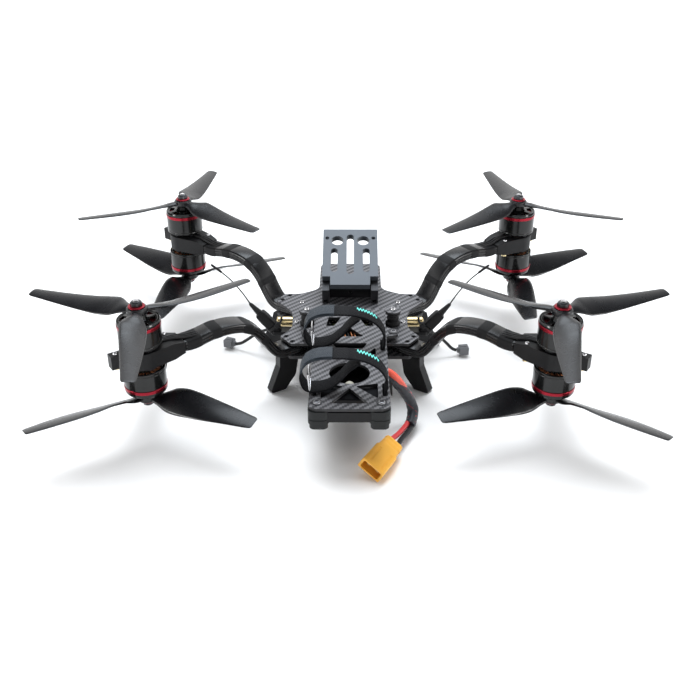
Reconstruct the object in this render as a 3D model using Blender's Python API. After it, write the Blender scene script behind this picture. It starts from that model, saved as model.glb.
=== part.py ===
"""Coaxial quadcopter: four gull-wing arms, eight motors and eight three-blade propellers.

Row frame: +X right, +Y forward, +Z up, z = 0 on the ground under the landing legs.
Every length below is in millimetres and becomes metres when a mesh is made.
"""

import math

import bmesh
import bpy
from mathutils import Matrix, Vector

MM = 0.001
GAP = 0.3  # clearance between pieces that touch

# Layout of the four stations
MOTOR_X = 165.0
MOTOR_Y = 115.0
# Angle of an arm to the X axis in plan, for the front pair and the rear pair
ARM_ANGLES = {1: math.radians(36.3), -1: math.radians(33.2)}
MOTOR_MID_Z = 81.0  # mid-plane of the motor mounts

# Body plates
PLATE_BOTTOM = (38.5, 41.5)
PLATE_TOP = (51.5, 54.0)
PLATE_GAP_MID = 46.5
NOSE_HALF = 30.0
NOSE_FRONT = 115.0
LOWER_FRONT = 62.0
BODY_REAR = -50.5
BAY_HALF = 18.5
BAY_Y = (-44.5, -7.5)

# Arms: stations inboard of the motor axis with the height of the arm's centreline
ARM_WIDTH = 19.0
ARM_THICK = 8.2
TENON = (13.0, 6.6)  # width and thickness of the arm's end inside the mount
TENON_END = 33.3
ARM_LINE = (
    (18.0, 81.0),
    (33.3, 81.0),
    (34.1, 81.0),
    (44.0, 81.2),
    (60.0, 84.2),
    (75.0, 84.3),
    (88.0, 81.4),
    (97.0, 75.8),
    (104.5, 67.6),
    (111.2, 57.0),
    (117.0, 49.6),
    (123.4, 46.6),
    (130.0, 46.5),
    (146.0, 46.5),
)

# Motor mounts
MOUNT_HALF_THICK = 7.0
MOUNT_INNER = 33.0
MOUNT_OUTER = 27.0
MOUNT_HALF_WIDTH = 9.7  # at the inner end
MOUNT_RADIUS = 15.5
LUG_HALF = 4.0

# Motors and propellers, heights measured outward from the mount's mid-plane
BELL_RADIUS = 17.2
BELL_WALL = 1.8
STATOR_RADIUS = 14.4
SHAFT_RADIUS = 2.5
BELL_FOOT = 10.5
BELL_TOP = 32.0
PROP_LOW = 37.0
PROP_HIGH = 42.0
NUT_TOP = 48.0
PROP_RADIUS = 101.5
# Pitch, then stations of a blade: radius, leading and trailing reach, thickness, lean to the motor
BLADES = {
    "upper": (70.0, (
        (5.0, 4.2, 4.2, 3.3, 0.2), (13.0, 7.5, 6.0, 3.4, 0.6), (22.0, 12.0, 9.0, 3.0, 1.8),
        (34.0, 11.4, 9.5, 2.6, 2.8), (50.0, 10.0, 9.1, 2.2, 3.4), (70.0, 7.9, 8.0, 1.8, 3.6),
        (92.0, 5.6, 6.6, 1.2, 3.6), (PROP_RADIUS, 3.4, 4.5, 1.0, 3.5))),
    "lower": (125.0, (
        (5.0, 4.2, 4.2, 3.3, 0.2), (13.0, 8.0, 6.5, 3.4, 0.6), (24.0, 12.6, 10.8, 3.0, 1.8),
        (38.0, 13.6, 12.2, 2.6, 2.8), (56.0, 12.0, 12.0, 2.2, 3.4), (76.0, 9.3, 10.2, 1.6, 3.6),
        (96.0, 6.0, 8.0, 1.2, 3.4), (PROP_RADIUS, 3.8, 5.6, 1.0, 3.3))),
}
HUB_RADIUS = 8.5
ROUND = 14  # sides of the turned pieces

# Battery tray and its frame
TRAY = (58.5, 61.0)
TRAY_HALF = 31.6
TRAY_FRONT = 2.0
TRAY_REAR = -164.0
STRAP_WIDTH = 16.5
STRAP_Y = (-65.0, -136.0)
STRAP_THICK = 1.8
RAIL_LOW = 46.0
TROUGH_LOW = 40.0

# Camera plate: top face starts at this height at its near edge and rises forward
CAMERA_NEAR = (25.0, 74.0)
CAMERA_TILT = math.radians(22.0)
CAMERA_LENGTH = 72.5
CAMERA_HALF = 26.2
CAMERA_THICK = 6.0

# Antennas, in the plane y = ANTENNA_Y
ANTENNA_Y = -8.0

CORNERS = {
    "front_left": (-1, 1),
    "front_right": (1, 1),
    "rear_left": (-1, -1),
    "rear_right": (1, -1),
}
# Angle of the first blade from +X, and whether the propeller turns counter-clockwise from above
PROPELLERS = {
    ("front_left", "upper"): (81.0, True),
    ("front_right", "upper"): (100.0, False),
    ("rear_left", "upper"): (-82.8, False),
    ("rear_right", "upper"): (-96.0, True),
    ("front_left", "lower"): (140.0, False),
    ("front_right", "lower"): (32.5, True),
    ("rear_left", "lower"): (94.7, True),
    ("rear_right", "lower"): (80.5, False),
}


# ---------------------------------------------------------------- helpers

def clear_scene():
    for item in list(bpy.data.objects):
        bpy.data.objects.remove(item, do_unlink=True)


def material(name, colour, roughness, metallic=0.0):
    made = bpy.data.materials.new(name)
    made.use_nodes = True
    shader = made.node_tree.nodes["Principled BSDF"]
    shader.inputs["Base Color"].default_value = (*colour, 1.0)
    shader.inputs["Roughness"].default_value = roughness
    shader.inputs["Metallic"].default_value = metallic
    made.diffuse_color = (*colour, 1.0)
    return made


def to_mesh(bm, name, smooth=False):
    """Mesh in metres from a bmesh in millimetres, its faces pointing out."""
    bmesh.ops.recalc_face_normals(bm, faces=bm.faces[:])
    bmesh.ops.scale(bm, vec=(MM, MM, MM), verts=bm.verts[:])
    mesh = bpy.data.meshes.new(name)
    bm.to_mesh(mesh)
    bm.free()
    if smooth:
        mesh.shade_smooth()
        mesh.set_sharp_from_angle(angle=math.radians(35))
    return mesh


def place(name, mesh, look, matrix=None):
    """Named object; the matrix is in millimetres."""
    made = bpy.data.objects.new(name, mesh)
    bpy.context.scene.collection.objects.link(made)
    if matrix is not None:
        spot, turn, _ = matrix.decompose()
        made.matrix_world = Matrix.Translation(spot * MM) @ turn.to_matrix().to_4x4()
    if look is not None:
        finish = bpy.data.materials.get(name) or material(name, *look)
        made.data.materials.clear()
        made.data.materials.append(finish)
    return made


def rounded(corners, steps=2):
    """Outline from (x, y, radius) corners, each corner turned into an arc."""
    outline = []
    for index, (x, y, radius) in enumerate(corners):
        corner = Vector((x, y))
        if radius == 0:
            outline.append(corner)
            continue
        before = (Vector(corners[index - 1][:2]) - corner).normalized()
        after = (Vector(corners[(index + 1) % len(corners)][:2]) - corner).normalized()
        half = before.angle(after) / 2
        centre = corner + (before + after).normalized() * radius / math.sin(half)
        reach = radius / math.tan(half)
        start = corner + before * reach - centre
        end = corner + after * reach - centre
        for step in range(steps + 1):
            spoke = start.lerp(end, step / steps).normalized()
            outline.append(centre + spoke * radius)
    return outline


def mirrored(corners):
    """Right-hand corners from front to rear, followed by their mirror images back to the front."""
    return corners + [(-x, y, radius) for x, y, radius in reversed(corners)]


def circle(x, y, radius, sides=10):
    turns = [math.tau * side / sides for side in range(sides)]
    return [Vector((x + radius * math.cos(t), y + radius * math.sin(t))) for t in turns]


def long_slot(x, low, high, width, steps=3):
    """Slot with round ends, running along Y."""
    half = width / 2
    return rounded([(x - half, low, half * 0.98), (x + half, low, half * 0.98),
                    (x + half, high, half * 0.98), (x - half, high, half * 0.98)], steps)


def slab(outline, holes, low, high):
    """Flat piece between two heights, with holes right through it."""
    bm = bmesh.new()
    edges = []
    for loop in [outline] + holes:
        verts = [bm.verts.new((point[0], point[1], low)) for point in loop]
        edges += [bm.edges.new(pair) for pair in zip(verts, verts[1:] + verts[:1])]
    bmesh.ops.triangle_fill(bm, use_beauty=True, use_dissolve=False, edges=edges)
    raised = bmesh.ops.extrude_face_region(bm, geom=bm.faces[:])
    verts = [item for item in raised["geom"] if isinstance(item, bmesh.types.BMVert)]
    bmesh.ops.translate(bm, vec=(0, 0, high - low), verts=verts)
    return bm


def box(x, y, z):
    """Block between pairs of coordinates."""
    outline = [(x[0], y[0]), (x[1], y[0]), (x[1], y[1]), (x[0], y[1])]
    return slab(outline, [], z[0], z[1])


def turned(profile, ring=False, sides=ROUND):
    """Solid of revolution about Z from (radius, height) points."""
    bm = bmesh.new()
    verts = [bm.verts.new((radius, 0, height)) for radius, height in profile]
    pairs = list(zip(verts, verts[1:]))
    if ring:
        pairs.append((verts[-1], verts[0]))
    edges = [bm.edges.new(pair) for pair in pairs]
    bmesh.ops.spin(bm, geom=verts + edges, cent=(0, 0, 0), axis=(0, 0, 1),
                   angle=math.tau, steps=sides, use_merge=True)
    bmesh.ops.remove_doubles(bm, verts=bm.verts[:], dist=0.001)
    return bm


def loft(rings):
    """Closed skin through rings of points, with flat ends."""
    bm = bmesh.new()
    loops = [[bm.verts.new(point) for point in ring] for ring in rings]
    for first, second in zip(loops, loops[1:]):
        for index in range(len(first)):
            after = (index + 1) % len(first)
            bm.faces.new((first[index], first[after], second[after], second[index]))
    bm.faces.new(loops[0])
    bm.faces.new(loops[-1])
    return bm


def smooth_line(points, per_span):
    """Points on a Catmull-Rom curve through the given points."""
    line = [Vector(point) for point in points]
    padded = [2 * line[0] - line[1]] + line + [2 * line[-1] - line[-2]]
    made = []
    for a, b, c, d in zip(padded, padded[1:], padded[2:], padded[3:]):
        for step in range(per_span):
            t = step / per_span
            made.append(0.5 * (2 * b + (c - a) * t + (2 * a - 5 * b + 4 * c - d) * t * t
                               + (3 * b - a - 3 * c + d) * t ** 3))
    return made + [line[-1]]


def spaced(points, step):
    """Points about one step apart along a line of close points."""
    made = [points[0]]
    for point in points[1:-1]:
        if (point - made[-1]).length >= step and (points[-1] - point).length >= step / 2:
            made.append(point)
    return made + [points[-1]]


def joined(first, others, operation="UNION"):
    """First mesh with the others joined to it or cut from it, as one new mesh."""
    base = place(first.name + "_base", first, None)
    tools = [place(f"{first.name}_tool{index}", mesh, None) for index, mesh in enumerate(others)]
    for tool in tools:
        tool.hide_render = True
        tool.display_type = "WIRE"
        change = base.modifiers.new(tool.name, "BOOLEAN")
        change.operation = operation
        change.object = tool
        change.solver = "EXACT"
    graph = bpy.context.evaluated_depsgraph_get()
    made = bpy.data.meshes.new_from_object(base.evaluated_get(graph))
    for item in [base] + tools:
        bpy.data.objects.remove(item, do_unlink=True)
    return made


def tube(name, route, radius, look, step, resolution=2):
    """Cord solid along a route, as a bevelled curve with filled caps."""
    points = spaced(smooth_line(route, 24), step)
    curve = bpy.data.curves.new(name, "CURVE")
    curve.dimensions = "3D"
    curve.bevel_depth = radius * MM
    curve.bevel_resolution = resolution
    curve.use_fill_caps = True
    spline = curve.splines.new("POLY")
    spline.points.add(len(points) - 1)
    for spot, point in zip(spline.points, points):
        spot.co = (*(point * MM), 1)
    made = bpy.data.objects.new(name, curve)
    bpy.context.scene.collection.objects.link(made)
    curve.materials.append(material(name, *look))
    return made


def upright(x=0.0, y=0.0, z=0.0):
    """Turns a slab drawn in X and Y so that its Y becomes Z, and its thickness lies along -Y."""
    return Matrix.Translation((x, y, z)) @ Matrix.Rotation(math.pi / 2, 4, "X")


def sideways():
    """Turns a slab drawn as (Y, Z) so that its thickness lies along X."""
    return Matrix(((0, 0, 1, 0), (1, 0, 0, 0), (0, 1, 0, 0), (0, 0, 0, 1)))


def transformed(bm, matrix):
    bmesh.ops.transform(bm, matrix=matrix, verts=bm.verts[:])
    return bm


# ---------------------------------------------------------------- finishes

CARBON = ((0.035, 0.035, 0.038), 0.45)
PRINTED = ((0.012, 0.012, 0.013), 0.6)
GLOSS_BLACK = ((0.010, 0.010, 0.011), 0.25)
PROP_BLACK = ((0.014, 0.014, 0.015), 0.42)
COPPER = ((0.45, 0.16, 0.07), 0.4, 0.8)
ALUMINIUM = ((0.24, 0.26, 0.30), 0.4, 0.9)
BLACK_METAL = ((0.01, 0.01, 0.012), 0.35, 0.6)
BRASS = ((0.75, 0.50, 0.18), 0.25, 1.0)
BOARD = ((0.01, 0.03, 0.02), 0.5)
RUBBER = ((0.02, 0.02, 0.02), 0.8)
WEBBING = ((0.015, 0.017, 0.022), 0.7)
SLEEVE = ((0.04, 0.042, 0.05), 0.6)
PLUG_YELLOW = ((0.95, 0.50, 0.05), 0.45)


# ---------------------------------------------------------------- rotors

def blade_section(pitch, radius, lead, trail, thick, lean):
    """Eight points of a counter-clockwise blade's section, its leading edge raised."""
    twist = math.atan2(pitch, math.tau * max(radius, 34.0)) * min(1.0, radius / 22.0)
    shape = ((1.0, 0.0), (0.78, 0.75), (0.5, 1.0), (0.22, 0.8), (0.0, 0.1),
             (0.22, -0.1), (0.5, -0.15), (0.78, -0.25))
    points = []
    for along, height in shape:
        across = along * (lead + trail) - trail
        rise = (height - 0.4) * thick
        points.append(Vector((
            radius,
            across * math.cos(twist) - rise * math.sin(twist),
            across * math.sin(twist) + rise * math.cos(twist) - lean,
        )))
    return points


def propeller_mesh(name, counter, level):
    """Three blades joined to a bored hub, centred on its own mid-height."""
    pitch, stations = BLADES[level]
    motor_side = 1 if level == "upper" else -1
    half = (PROP_HIGH - PROP_LOW) / 2
    bore = SHAFT_RADIUS + 0.5
    hub = turned([(bore, -half), (HUB_RADIUS, -half), (HUB_RADIUS, half - 0.8),
                  (HUB_RADIUS - 1, half), (bore, half)], ring=True, sides=12)
    blades = []
    for index in range(3):
        rings = [blade_section(pitch, *station[:4], motor_side * station[4])
                 for station in stations]
        if not counter:
            rings = [[Vector((p.x, -p.y, p.z)) for p in ring] for ring in rings]
        turn = Matrix.Rotation(index * math.tau / 3, 4, "Z")
        blades.append(to_mesh(transformed(loft(rings), turn), f"{name}_blade{index}"))
    made = joined(to_mesh(hub, name), blades)
    made.shade_smooth()
    made.set_sharp_from_angle(angle=math.radians(40))
    return made


def bell_profile():
    """Bell, shaft and prop nut as one turned profile, from the shaft's foot out and up."""
    inner = BELL_RADIUS - BELL_WALL
    return [
        (0, 12.0), (SHAFT_RADIUS, 12.0), (SHAFT_RADIUS, BELL_TOP - 2.6), (inner, BELL_TOP - 2.6),
        (inner, BELL_FOOT), (BELL_RADIUS, BELL_FOOT), (BELL_RADIUS, BELL_TOP - 3.0),
        (BELL_RADIUS - 1.6, BELL_TOP), (6.0, BELL_TOP), (6.0, PROP_LOW - GAP),
        (SHAFT_RADIUS, PROP_LOW - GAP), (SHAFT_RADIUS, PROP_HIGH + GAP),
        (6.6, PROP_HIGH + GAP), (6.6, PROP_HIGH + 1.4), (4.2, PROP_HIGH + 1.4),
        (4.2, NUT_TOP - 0.8), (3.4, NUT_TOP), (0, NUT_TOP),
    ]


def stator_profile():
    """Motor base flange and wound stator, bored for the shaft."""
    bore = SHAFT_RADIUS + 0.7
    return [
        (bore, MOUNT_HALF_THICK + GAP), (13.5, MOUNT_HALF_THICK + GAP), (13.5, 9.3),
        (9.0, 9.8), (9.0, 13.0), (STATOR_RADIUS, 13.0), (STATOR_RADIUS, 27.0), (bore, 27.0),
    ]


def station_matrix(corner, level="upper"):
    """Motor axis of a station: Z points outward from the mount's mid-plane."""
    side, front = CORNERS[corner]
    matrix = Matrix.Translation((side * MOTOR_X, front * MOTOR_Y, MOTOR_MID_Z))
    if level == "lower":
        matrix = matrix @ Matrix.Rotation(math.pi, 4, "X")
    return matrix


def make_rotors():
    bell = to_mesh(turned(bell_profile()), "bell", smooth=True)
    stator = to_mesh(turned(stator_profile(), ring=True, sides=12), "stator", smooth=True)
    props = {(level, counter): propeller_mesh(f"prop_{level}_{counter}", counter, level)
             for level in BLADES for counter in (True, False)}
    hub_mid = (PROP_LOW + PROP_HIGH) / 2
    for (corner, level), (angle, counter) in PROPELLERS.items():
        axis = station_matrix(corner, level)
        tag = f"{corner}_{level}"
        place(f"motor_bell_{tag}", bell.copy(), GLOSS_BLACK, axis)
        place(f"motor_stator_{tag}", stator.copy(), COPPER, axis)
        height = MOTOR_MID_Z + (hub_mid if level == "upper" else -hub_mid)
        side, front = CORNERS[corner]
        spot = Matrix.Translation((side * MOTOR_X, front * MOTOR_Y, height))
        turn = Matrix.Rotation(math.radians(angle), 4, "Z")
        place(f"propeller_{tag}", props[level, counter].copy(), PROP_BLACK, spot @ turn)


# ---------------------------------------------------------------- arms and mounts

def arm_matrix(corner):
    """Frame of an arm: origin on the motor axis, +X inboard along the arm, z = 0 on the ground."""
    side, front = CORNERS[corner]
    angle = ARM_ANGLES[front]
    heading = math.atan2(-front * math.sin(angle), -side * math.cos(angle))
    spot = Matrix.Translation((side * MOTOR_X, front * MOTOR_Y, 0))
    return spot @ Matrix.Rotation(heading, 4, "Z")


def arm_mesh():
    """Chamfered bar that follows the gull-wing line, kept square to it."""
    line = smooth_line([(along, 0, height) for along, height in ARM_LINE], 2)

    def section(width, thick, cut):
        wide, deep = width / 2, thick / 2
        return ((wide, deep - cut), (wide - cut, deep), (cut - wide, deep), (-wide, deep - cut),
                (-wide, cut - deep), (cut - wide, -deep), (wide - cut, -deep), (wide, cut - deep))

    rings = []
    for index, point in enumerate(line):
        ahead = line[min(index + 1, len(line) - 1)] - line[max(index - 1, 0)]
        ahead.normalize()
        if index in (0, len(line) - 1):
            ahead = Vector((1, 0, 0))
        rise = Vector((-ahead.z, 0, ahead.x))
        size = section(*TENON, 1.0) if point.x <= TENON_END else section(ARM_WIDTH, ARM_THICK, 1.6)
        rings.append([point + Vector((0, across, 0)) + rise * up for across, up in size])
    return to_mesh(loft(rings), "arm", smooth=True)


def mount_mesh():
    """Printed block that narrows to the arm, with a raised lug outboard and the arm's socket."""
    reach = math.hypot(MOUNT_INNER, MOUNT_HALF_WIDTH)
    flat = math.atan2(MOUNT_HALF_WIDTH, MOUNT_INNER) + math.acos(MOUNT_RADIUS / reach)
    sweep = [math.pi - step * (math.pi - flat) / 8 for step in range(9)]
    side = [Vector((MOUNT_RADIUS * math.cos(t), MOUNT_RADIUS * math.sin(t))) for t in sweep]
    outline = [Vector((MOUNT_INNER, -MOUNT_HALF_WIDTH)), Vector((MOUNT_INNER, MOUNT_HALF_WIDTH))]
    outline += side[::-1] + [Vector((p.x, -p.y)) for p in side[1:]]
    low, high = MOTOR_MID_Z - MOUNT_HALF_THICK, MOTOR_MID_Z + MOUNT_HALF_THICK
    block = to_mesh(slab(outline, [], low, high), "mount")
    lug = box((-MOUNT_OUTER, -14), (-LUG_HALF, LUG_HALF), (MOTOR_MID_Z - 5, MOTOR_MID_Z + 6.6))
    wide = TENON[0] / 2 + GAP
    deep = TENON[1] / 2 + GAP
    socket = box((ARM_LINE[0][0] - 1, MOUNT_INNER + 3), (-wide, wide),
                 (MOTOR_MID_Z - deep, MOTOR_MID_Z + deep))
    whole = joined(block, [to_mesh(lug, "lug")])
    return joined(whole, [to_mesh(socket, "socket")], "DIFFERENCE")


def make_arms():
    arm = arm_mesh()
    mount = mount_mesh()
    for corner in CORNERS:
        place(f"arm_{corner}", arm.copy(), PRINTED, arm_matrix(corner))
        place(f"motor_mount_{corner}", mount.copy(), PRINTED, arm_matrix(corner))


# ---------------------------------------------------------------- body

def body_corners():
    """Right-hand outline of both plates behind the nose: horns at the arms and a narrow waist."""
    return [(47, 47, 8), (62.5, 46, 2), (69.5, 32, 2), (53, 9, 28), (51.5, -22, 22),
            (61.5, -37, 2.5), (52, -51, 3), (45, BODY_REAR, 2)]


def horn_holes():
    """Two arm bolts on each horn, across the arm."""
    holes = []
    for side, front in CORNERS.values():
        angle = ARM_ANGLES[front]
        along = 129.4 if front > 0 else 133.7
        for across in (-5.4, 5.4):
            x = MOTOR_X - along * math.cos(angle) + across * math.sin(angle)
            y = MOTOR_Y - along * math.sin(angle) - across * math.cos(angle)
            holes.append(circle(side * x, front * y, 1.6, 6))
    return holes


def make_plates():
    nose = [(NOSE_HALF, NOSE_FRONT, 8), (NOSE_HALF, 57, 12)]
    bay = rounded([(BAY_HALF, BAY_Y[1], 2), (-BAY_HALF, BAY_Y[1], 2),
                   (-BAY_HALF, BAY_Y[0], 2), (BAY_HALF, BAY_Y[0], 2)])
    top = slab(rounded(mirrored(nose + body_corners())), [bay] + horn_holes(), *PLATE_TOP)
    place("top_plate", to_mesh(top, "top_plate"), CARBON)
    front = [(NOSE_HALF, LOWER_FRONT, 6)]
    bottom = slab(rounded(mirrored(front + body_corners())), horn_holes(), *PLATE_BOTTOM)
    place("bottom_plate", to_mesh(bottom, "bottom_plate"), CARBON)


def make_legs():
    """Fins under the four horns, along the arms, splayed outward and leaning to the middle."""
    profiles = {
        1: [(119, 38.2), (117, 27), (104, 0), (122, 0), (136, 14), (139, 38.2)],
        -1: [(123.5, 38.2), (124, 27), (115.5, 0), (131, 0), (141, 14), (143, 38.2)],
    }
    for corner, (side, front) in CORNERS.items():
        fin = transformed(slab(profiles[front], [], -4, 4), upright())
        for vert in fin.verts:
            vert.co.y += side * front * (3.5 + (38.2 - vert.co.z) * 0.15)
        place(f"landing_leg_{corner}", to_mesh(fin, "leg"), PRINTED, arm_matrix(corner))


def make_stack():
    """Speed controller and flight controller boards on four posts."""
    mid = (BAY_Y[0] + BAY_Y[1]) / 2
    half = 17.5
    lower = to_mesh(box((-half, half), (mid - half, mid + half), (42.0, 44.0)), "stack")
    pieces = [box((-half, half), (mid - half, mid + half), (50.5, 52.5)),
              box((-11, 11), (mid - 11, mid + 11), (43.0, 49.0)),
              box((-9, 9), (mid - 9, mid + 9), (52.0, 54.6))]
    for x in (-14, 14):
        for y in (mid - 14, mid + 14):
            pieces.append(box((x - 2.2, x + 2.2), (y - 2.2, y + 2.2), (43.0, 56.6)))
    place("flight_stack", joined(lower, [to_mesh(piece, "piece") for piece in pieces]), BOARD)


def make_side_pieces():
    """Waist spacers, tray bobbins, antenna holders and antennas, on both sides."""
    for name, side in (("left", -1), ("right", 1)):
        barrel = turned([(0, 0), (4.7, 0), (4.7, 19.0), (0, 19.0)], sides=12)
        lay = Matrix.Translation((side * 48.5, 4.0, PLATE_GAP_MID))
        lay = lay @ Matrix.Rotation(side * math.pi / 2, 4, "Y")
        place(f"side_spacer_{name}", to_mesh(barrel, "spacer", smooth=True), BRASS, lay)
        base = PLATE_TOP[1] + GAP
        bobbin = turned([(0, 0), (6.5, 0), (6.5, 3.0), (5.0, 4.5), (5.0, 9.0), (6.5, 10.5),
                         (6.5, 13.0), (7.3, 13.0), (7.3, 14.6), (0, 14.6)], sides=14)
        spot = Matrix.Translation((side * 38.5, -15.0, base))
        place(f"bobbin_{name}", to_mesh(bobbin, "bobbin", smooth=True), RUBBER, spot)
        make_antenna(name, side)


def make_antenna(name, side):
    """Holder clamped between the plates, with a slim whip that carries a sleeve at its tip."""
    foot = Vector((side * 65.9, ANTENNA_Y, 42.6))
    mouth = Vector((side * 81.8, ANTENNA_Y, 61.5))
    axis = (mouth - foot).normalized()
    turn = axis.to_track_quat("Z", "Y").to_matrix().to_4x4()
    reach = (mouth - foot).length
    holder = slab(rounded([(4, 5, 2), (-4, 5, 2), (-4, -5, 2), (4, -5, 2)]), [], 0, reach)
    holder = to_mesh(transformed(holder, Matrix.Translation(foot) @ turn), "holder")
    tab = box(sorted((side * 54.0, side * 70.0)), (ANTENNA_Y - 5, ANTENNA_Y + 5), (41.9, 44.6))
    place(f"antenna_mount_{name}", joined(holder, [to_mesh(tab, "tab")]), PRINTED)
    whip = turned([(0, 0), (3.0, 0), (1.6, 12.0), (0.6, 13.0), (0.6, 50.0), (1.1, 50.5),
                   (1.1, 62.5), (0, 62.5)], sides=8)
    spot = Matrix.Translation(mouth + axis * GAP) @ turn
    place(f"antenna_{name}", to_mesh(whip, "whip", smooth=True), RUBBER, spot)


def make_camera_mount():
    """Slotted camera plate, tilted up, on a three-sided bracket."""
    slots = [long_slot(0, 13.5, 65.3, 6.7), long_slot(-15.2, 16.3, 46.8, 6.3),
             long_slot(15.2, 16.3, 46.8, 6.3)]
    rings = [circle(-12.4, 57.3, 5.9, 12), circle(12.4, 57.3, 5.9, 12),
             circle(-22.2, 60.6, 2.0, 6), circle(22.2, 60.6, 2.0, 6)]
    notch = 18.6
    outline = rounded([(CAMERA_HALF, CAMERA_LENGTH, 1), (-CAMERA_HALF, CAMERA_LENGTH, 1),
                       (-CAMERA_HALF, 10.5, 0), (-notch, 10.5, 0), (-notch, 0, 0.5),
                       (notch, 0, 0.5), (notch, 10.5, 0), (CAMERA_HALF, 10.5, 0)])
    plate = slab(outline, slots + rings, -CAMERA_THICK, 0)
    tilt = Matrix.Translation((0, *CAMERA_NEAR)) @ Matrix.Rotation(CAMERA_TILT, 4, "X")
    place("camera_plate", to_mesh(plate, "camera_plate"), ALUMINIUM, tilt)

    def under(y):
        near_y, near_z = CAMERA_NEAR
        drop = CAMERA_THICK / math.cos(CAMERA_TILT) + GAP + 0.1
        return near_z + (y - near_y) * math.tan(CAMERA_TILT) - drop

    foot = PLATE_TOP[1] + GAP
    wall = [(26, foot), (60, foot), (60, under(60)), (26, under(26))]
    back = [(38, foot), (41, foot), (41, under(41)), (38, under(38))]
    cheeks = [transformed(slab(wall, [], low, low + 6.6), sideways()) for low in (-26.1, 19.5)]
    cross = transformed(slab(back, [], -20.5, 20.5), sideways())
    hole = transformed(slab(circle(0, 60, 1.8, 8), [], -45, -35), upright())
    wall_mesh = joined(to_mesh(cross, "bracket"), [to_mesh(cheek, "cheek") for cheek in cheeks])
    place("camera_bracket", joined(wall_mesh, [to_mesh(hole, "hole")], "DIFFERENCE"), BLACK_METAL)


# ---------------------------------------------------------------- battery tray

def strap_slots():
    slots = []
    for y in STRAP_Y:
        for side in (-1, 1):
            half = STRAP_WIDTH / 2 + 1
            slots.append([(side * 26, y - half), (side * 30, y - half),
                          (side * 30, y + half), (side * 26, y + half)])
    return slots


def make_tray():
    """Carbon tray with truss cut-outs, a round hole and four strap slots."""
    half = [(TRAY_HALF, TRAY_FRONT, 5), (TRAY_HALF, -34, 2), (42, -37, 3), (42, -47, 3),
            (TRAY_HALF, -50, 2), (TRAY_HALF, TRAY_REAR, 7)]
    holes = strap_slots()
    holes.append(rounded([(0, -34, 1), (12, -50, 1), (-12, -50, 1)], 2))
    holes.append(rounded([(15, -62, 1), (11, -71, 1), (-11, -71, 1), (-15, -62, 1)], 2))
    holes.append(circle(0, -111, 16.5, 16))
    holes.append(rounded([(0, -134, 1), (15, -156, 1), (-15, -156, 1)], 2))
    for side in (-1, 1):
        holes.append([(side * 8, -15), (side * 19, -15), (side * 21, -31), (side * 14, -31)])
        holes.append([(side * 14, -81), (side * 22, -81), (side * 22, -69)])
        holes.append([(side * 5, -131), (side * 22.5, -127), (side * 22.5, -149)])
        holes.append(circle(side * 38, -42, 1.6, 6))
    place("battery_tray", to_mesh(slab(rounded(mirrored(half)), holes, *TRAY), "tray"), CARBON)


def make_tray_frame():
    """Printed frame under the tray: pad on the body, rails, trough, rear pods and cross bars."""
    top = TRAY[0] - GAP
    pad_low = PLATE_TOP[1] + GAP
    opening = [(20, -5), (-20, -5), (-20, -47.5), (20, -47.5)]
    pad = slab([(31, 1), (-31, 1), (-31, -53), (31, -53)], [opening], pad_low, top)
    pieces = []
    for side in (-1, 1):
        rail_x = sorted((side * 23, side * 31.2))
        pieces.append(box(rail_x, (-163, BODY_REAR - 0.8), (RAIL_LOW, top)))
        pod = rounded([(side * 32, -165, 5), (side * 32, -147, 3), (side * 15.5, -147, 3),
                       (side * 15.5, -165, 5)])
        pieces.append(slab(pod, [], 42.0, top))
    pieces.append(box((-24, 24), (-163.5, -157.5), (46.6, 57.0)))
    pieces.append(box((-24, 24), (-126, -116), (TROUGH_LOW, 51.0)))
    pieces.append(box((-31.2, 23), (-120, -53), (TROUGH_LOW, TROUGH_LOW + 1.4)))
    pieces.append(box((-31.2, -23), (-120, -53), (TROUGH_LOW, RAIL_LOW + 1)))
    pieces.append(transformed(turned([(0, 0), (4, 0), (4, 4), (2.8, 6.2), (0, 7)], sides=10),
                              Matrix.Translation((0, -118.5, 50))))
    whole = joined(to_mesh(pad, "tray_frame"), [to_mesh(piece, "piece") for piece in pieces])
    cuts = []
    for y in STRAP_Y:
        half = STRAP_WIDTH / 2 + 1
        for side in (-1, 1):
            cuts.append(box(sorted((side * 21, side * 34)), (y - half, y + half), (54.6, 60)))
    cuts.append(box((18, 34), (-105, -79.5), (44, 56.4)))
    place("tray_frame", joined(whole, [to_mesh(cut, "cut") for cut in cuts], "DIFFERENCE"),
          PRINTED)


def strap_line():
    """Strap's path in X and Z: free end, fold at the left, arch, right slot, under the tray."""
    return smooth_line([
        (8, 88.6, 0), (0, 82.0, 0), (-7, 73.5, 0), (-15, 66.6, 0), (-25, 63.6, 0),
        (-33.5, 64.5, 0), (-37.5, 71, 0), (-37.8, 79, 0), (-34.5, 87, 0), (-26, 92.2, 0),
        (-13, 93.6, 0), (1, 93.2, 0), (13, 90.4, 0), (23, 84, 0), (28.6, 75, 0), (29.6, 67, 0),
        (28.0, 61, 0), (27.8, 57.6, 0), (25.4, 56.4, 0), (10, 56.4, 0), (-10, 56.4, 0),
        (-25.4, 56.4, 0), (-27.8, 57.4, 0), (-28.0, 60.4, 0),
    ], 1)


def make_straps():
    """Webbing strap as one ribbon of even thickness."""
    line = strap_line()
    outer, inner = [], []
    for index, point in enumerate(line):
        ahead = line[min(index + 1, len(line) - 1)] - line[max(index - 1, 0)]
        ahead.normalize()
        across = Vector((-ahead.y, ahead.x, 0)) * STRAP_THICK / 2
        outer.append(point + across)
        inner.append(point - across)
    outline = outer + inner[::-1]
    for name, y in zip(("front", "rear"), STRAP_Y):
        ribbon = slab(outline, [], -STRAP_WIDTH / 2, STRAP_WIDTH / 2)
        place(f"battery_strap_{name}", to_mesh(ribbon, "strap"), WEBBING, upright(0, y))


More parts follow.
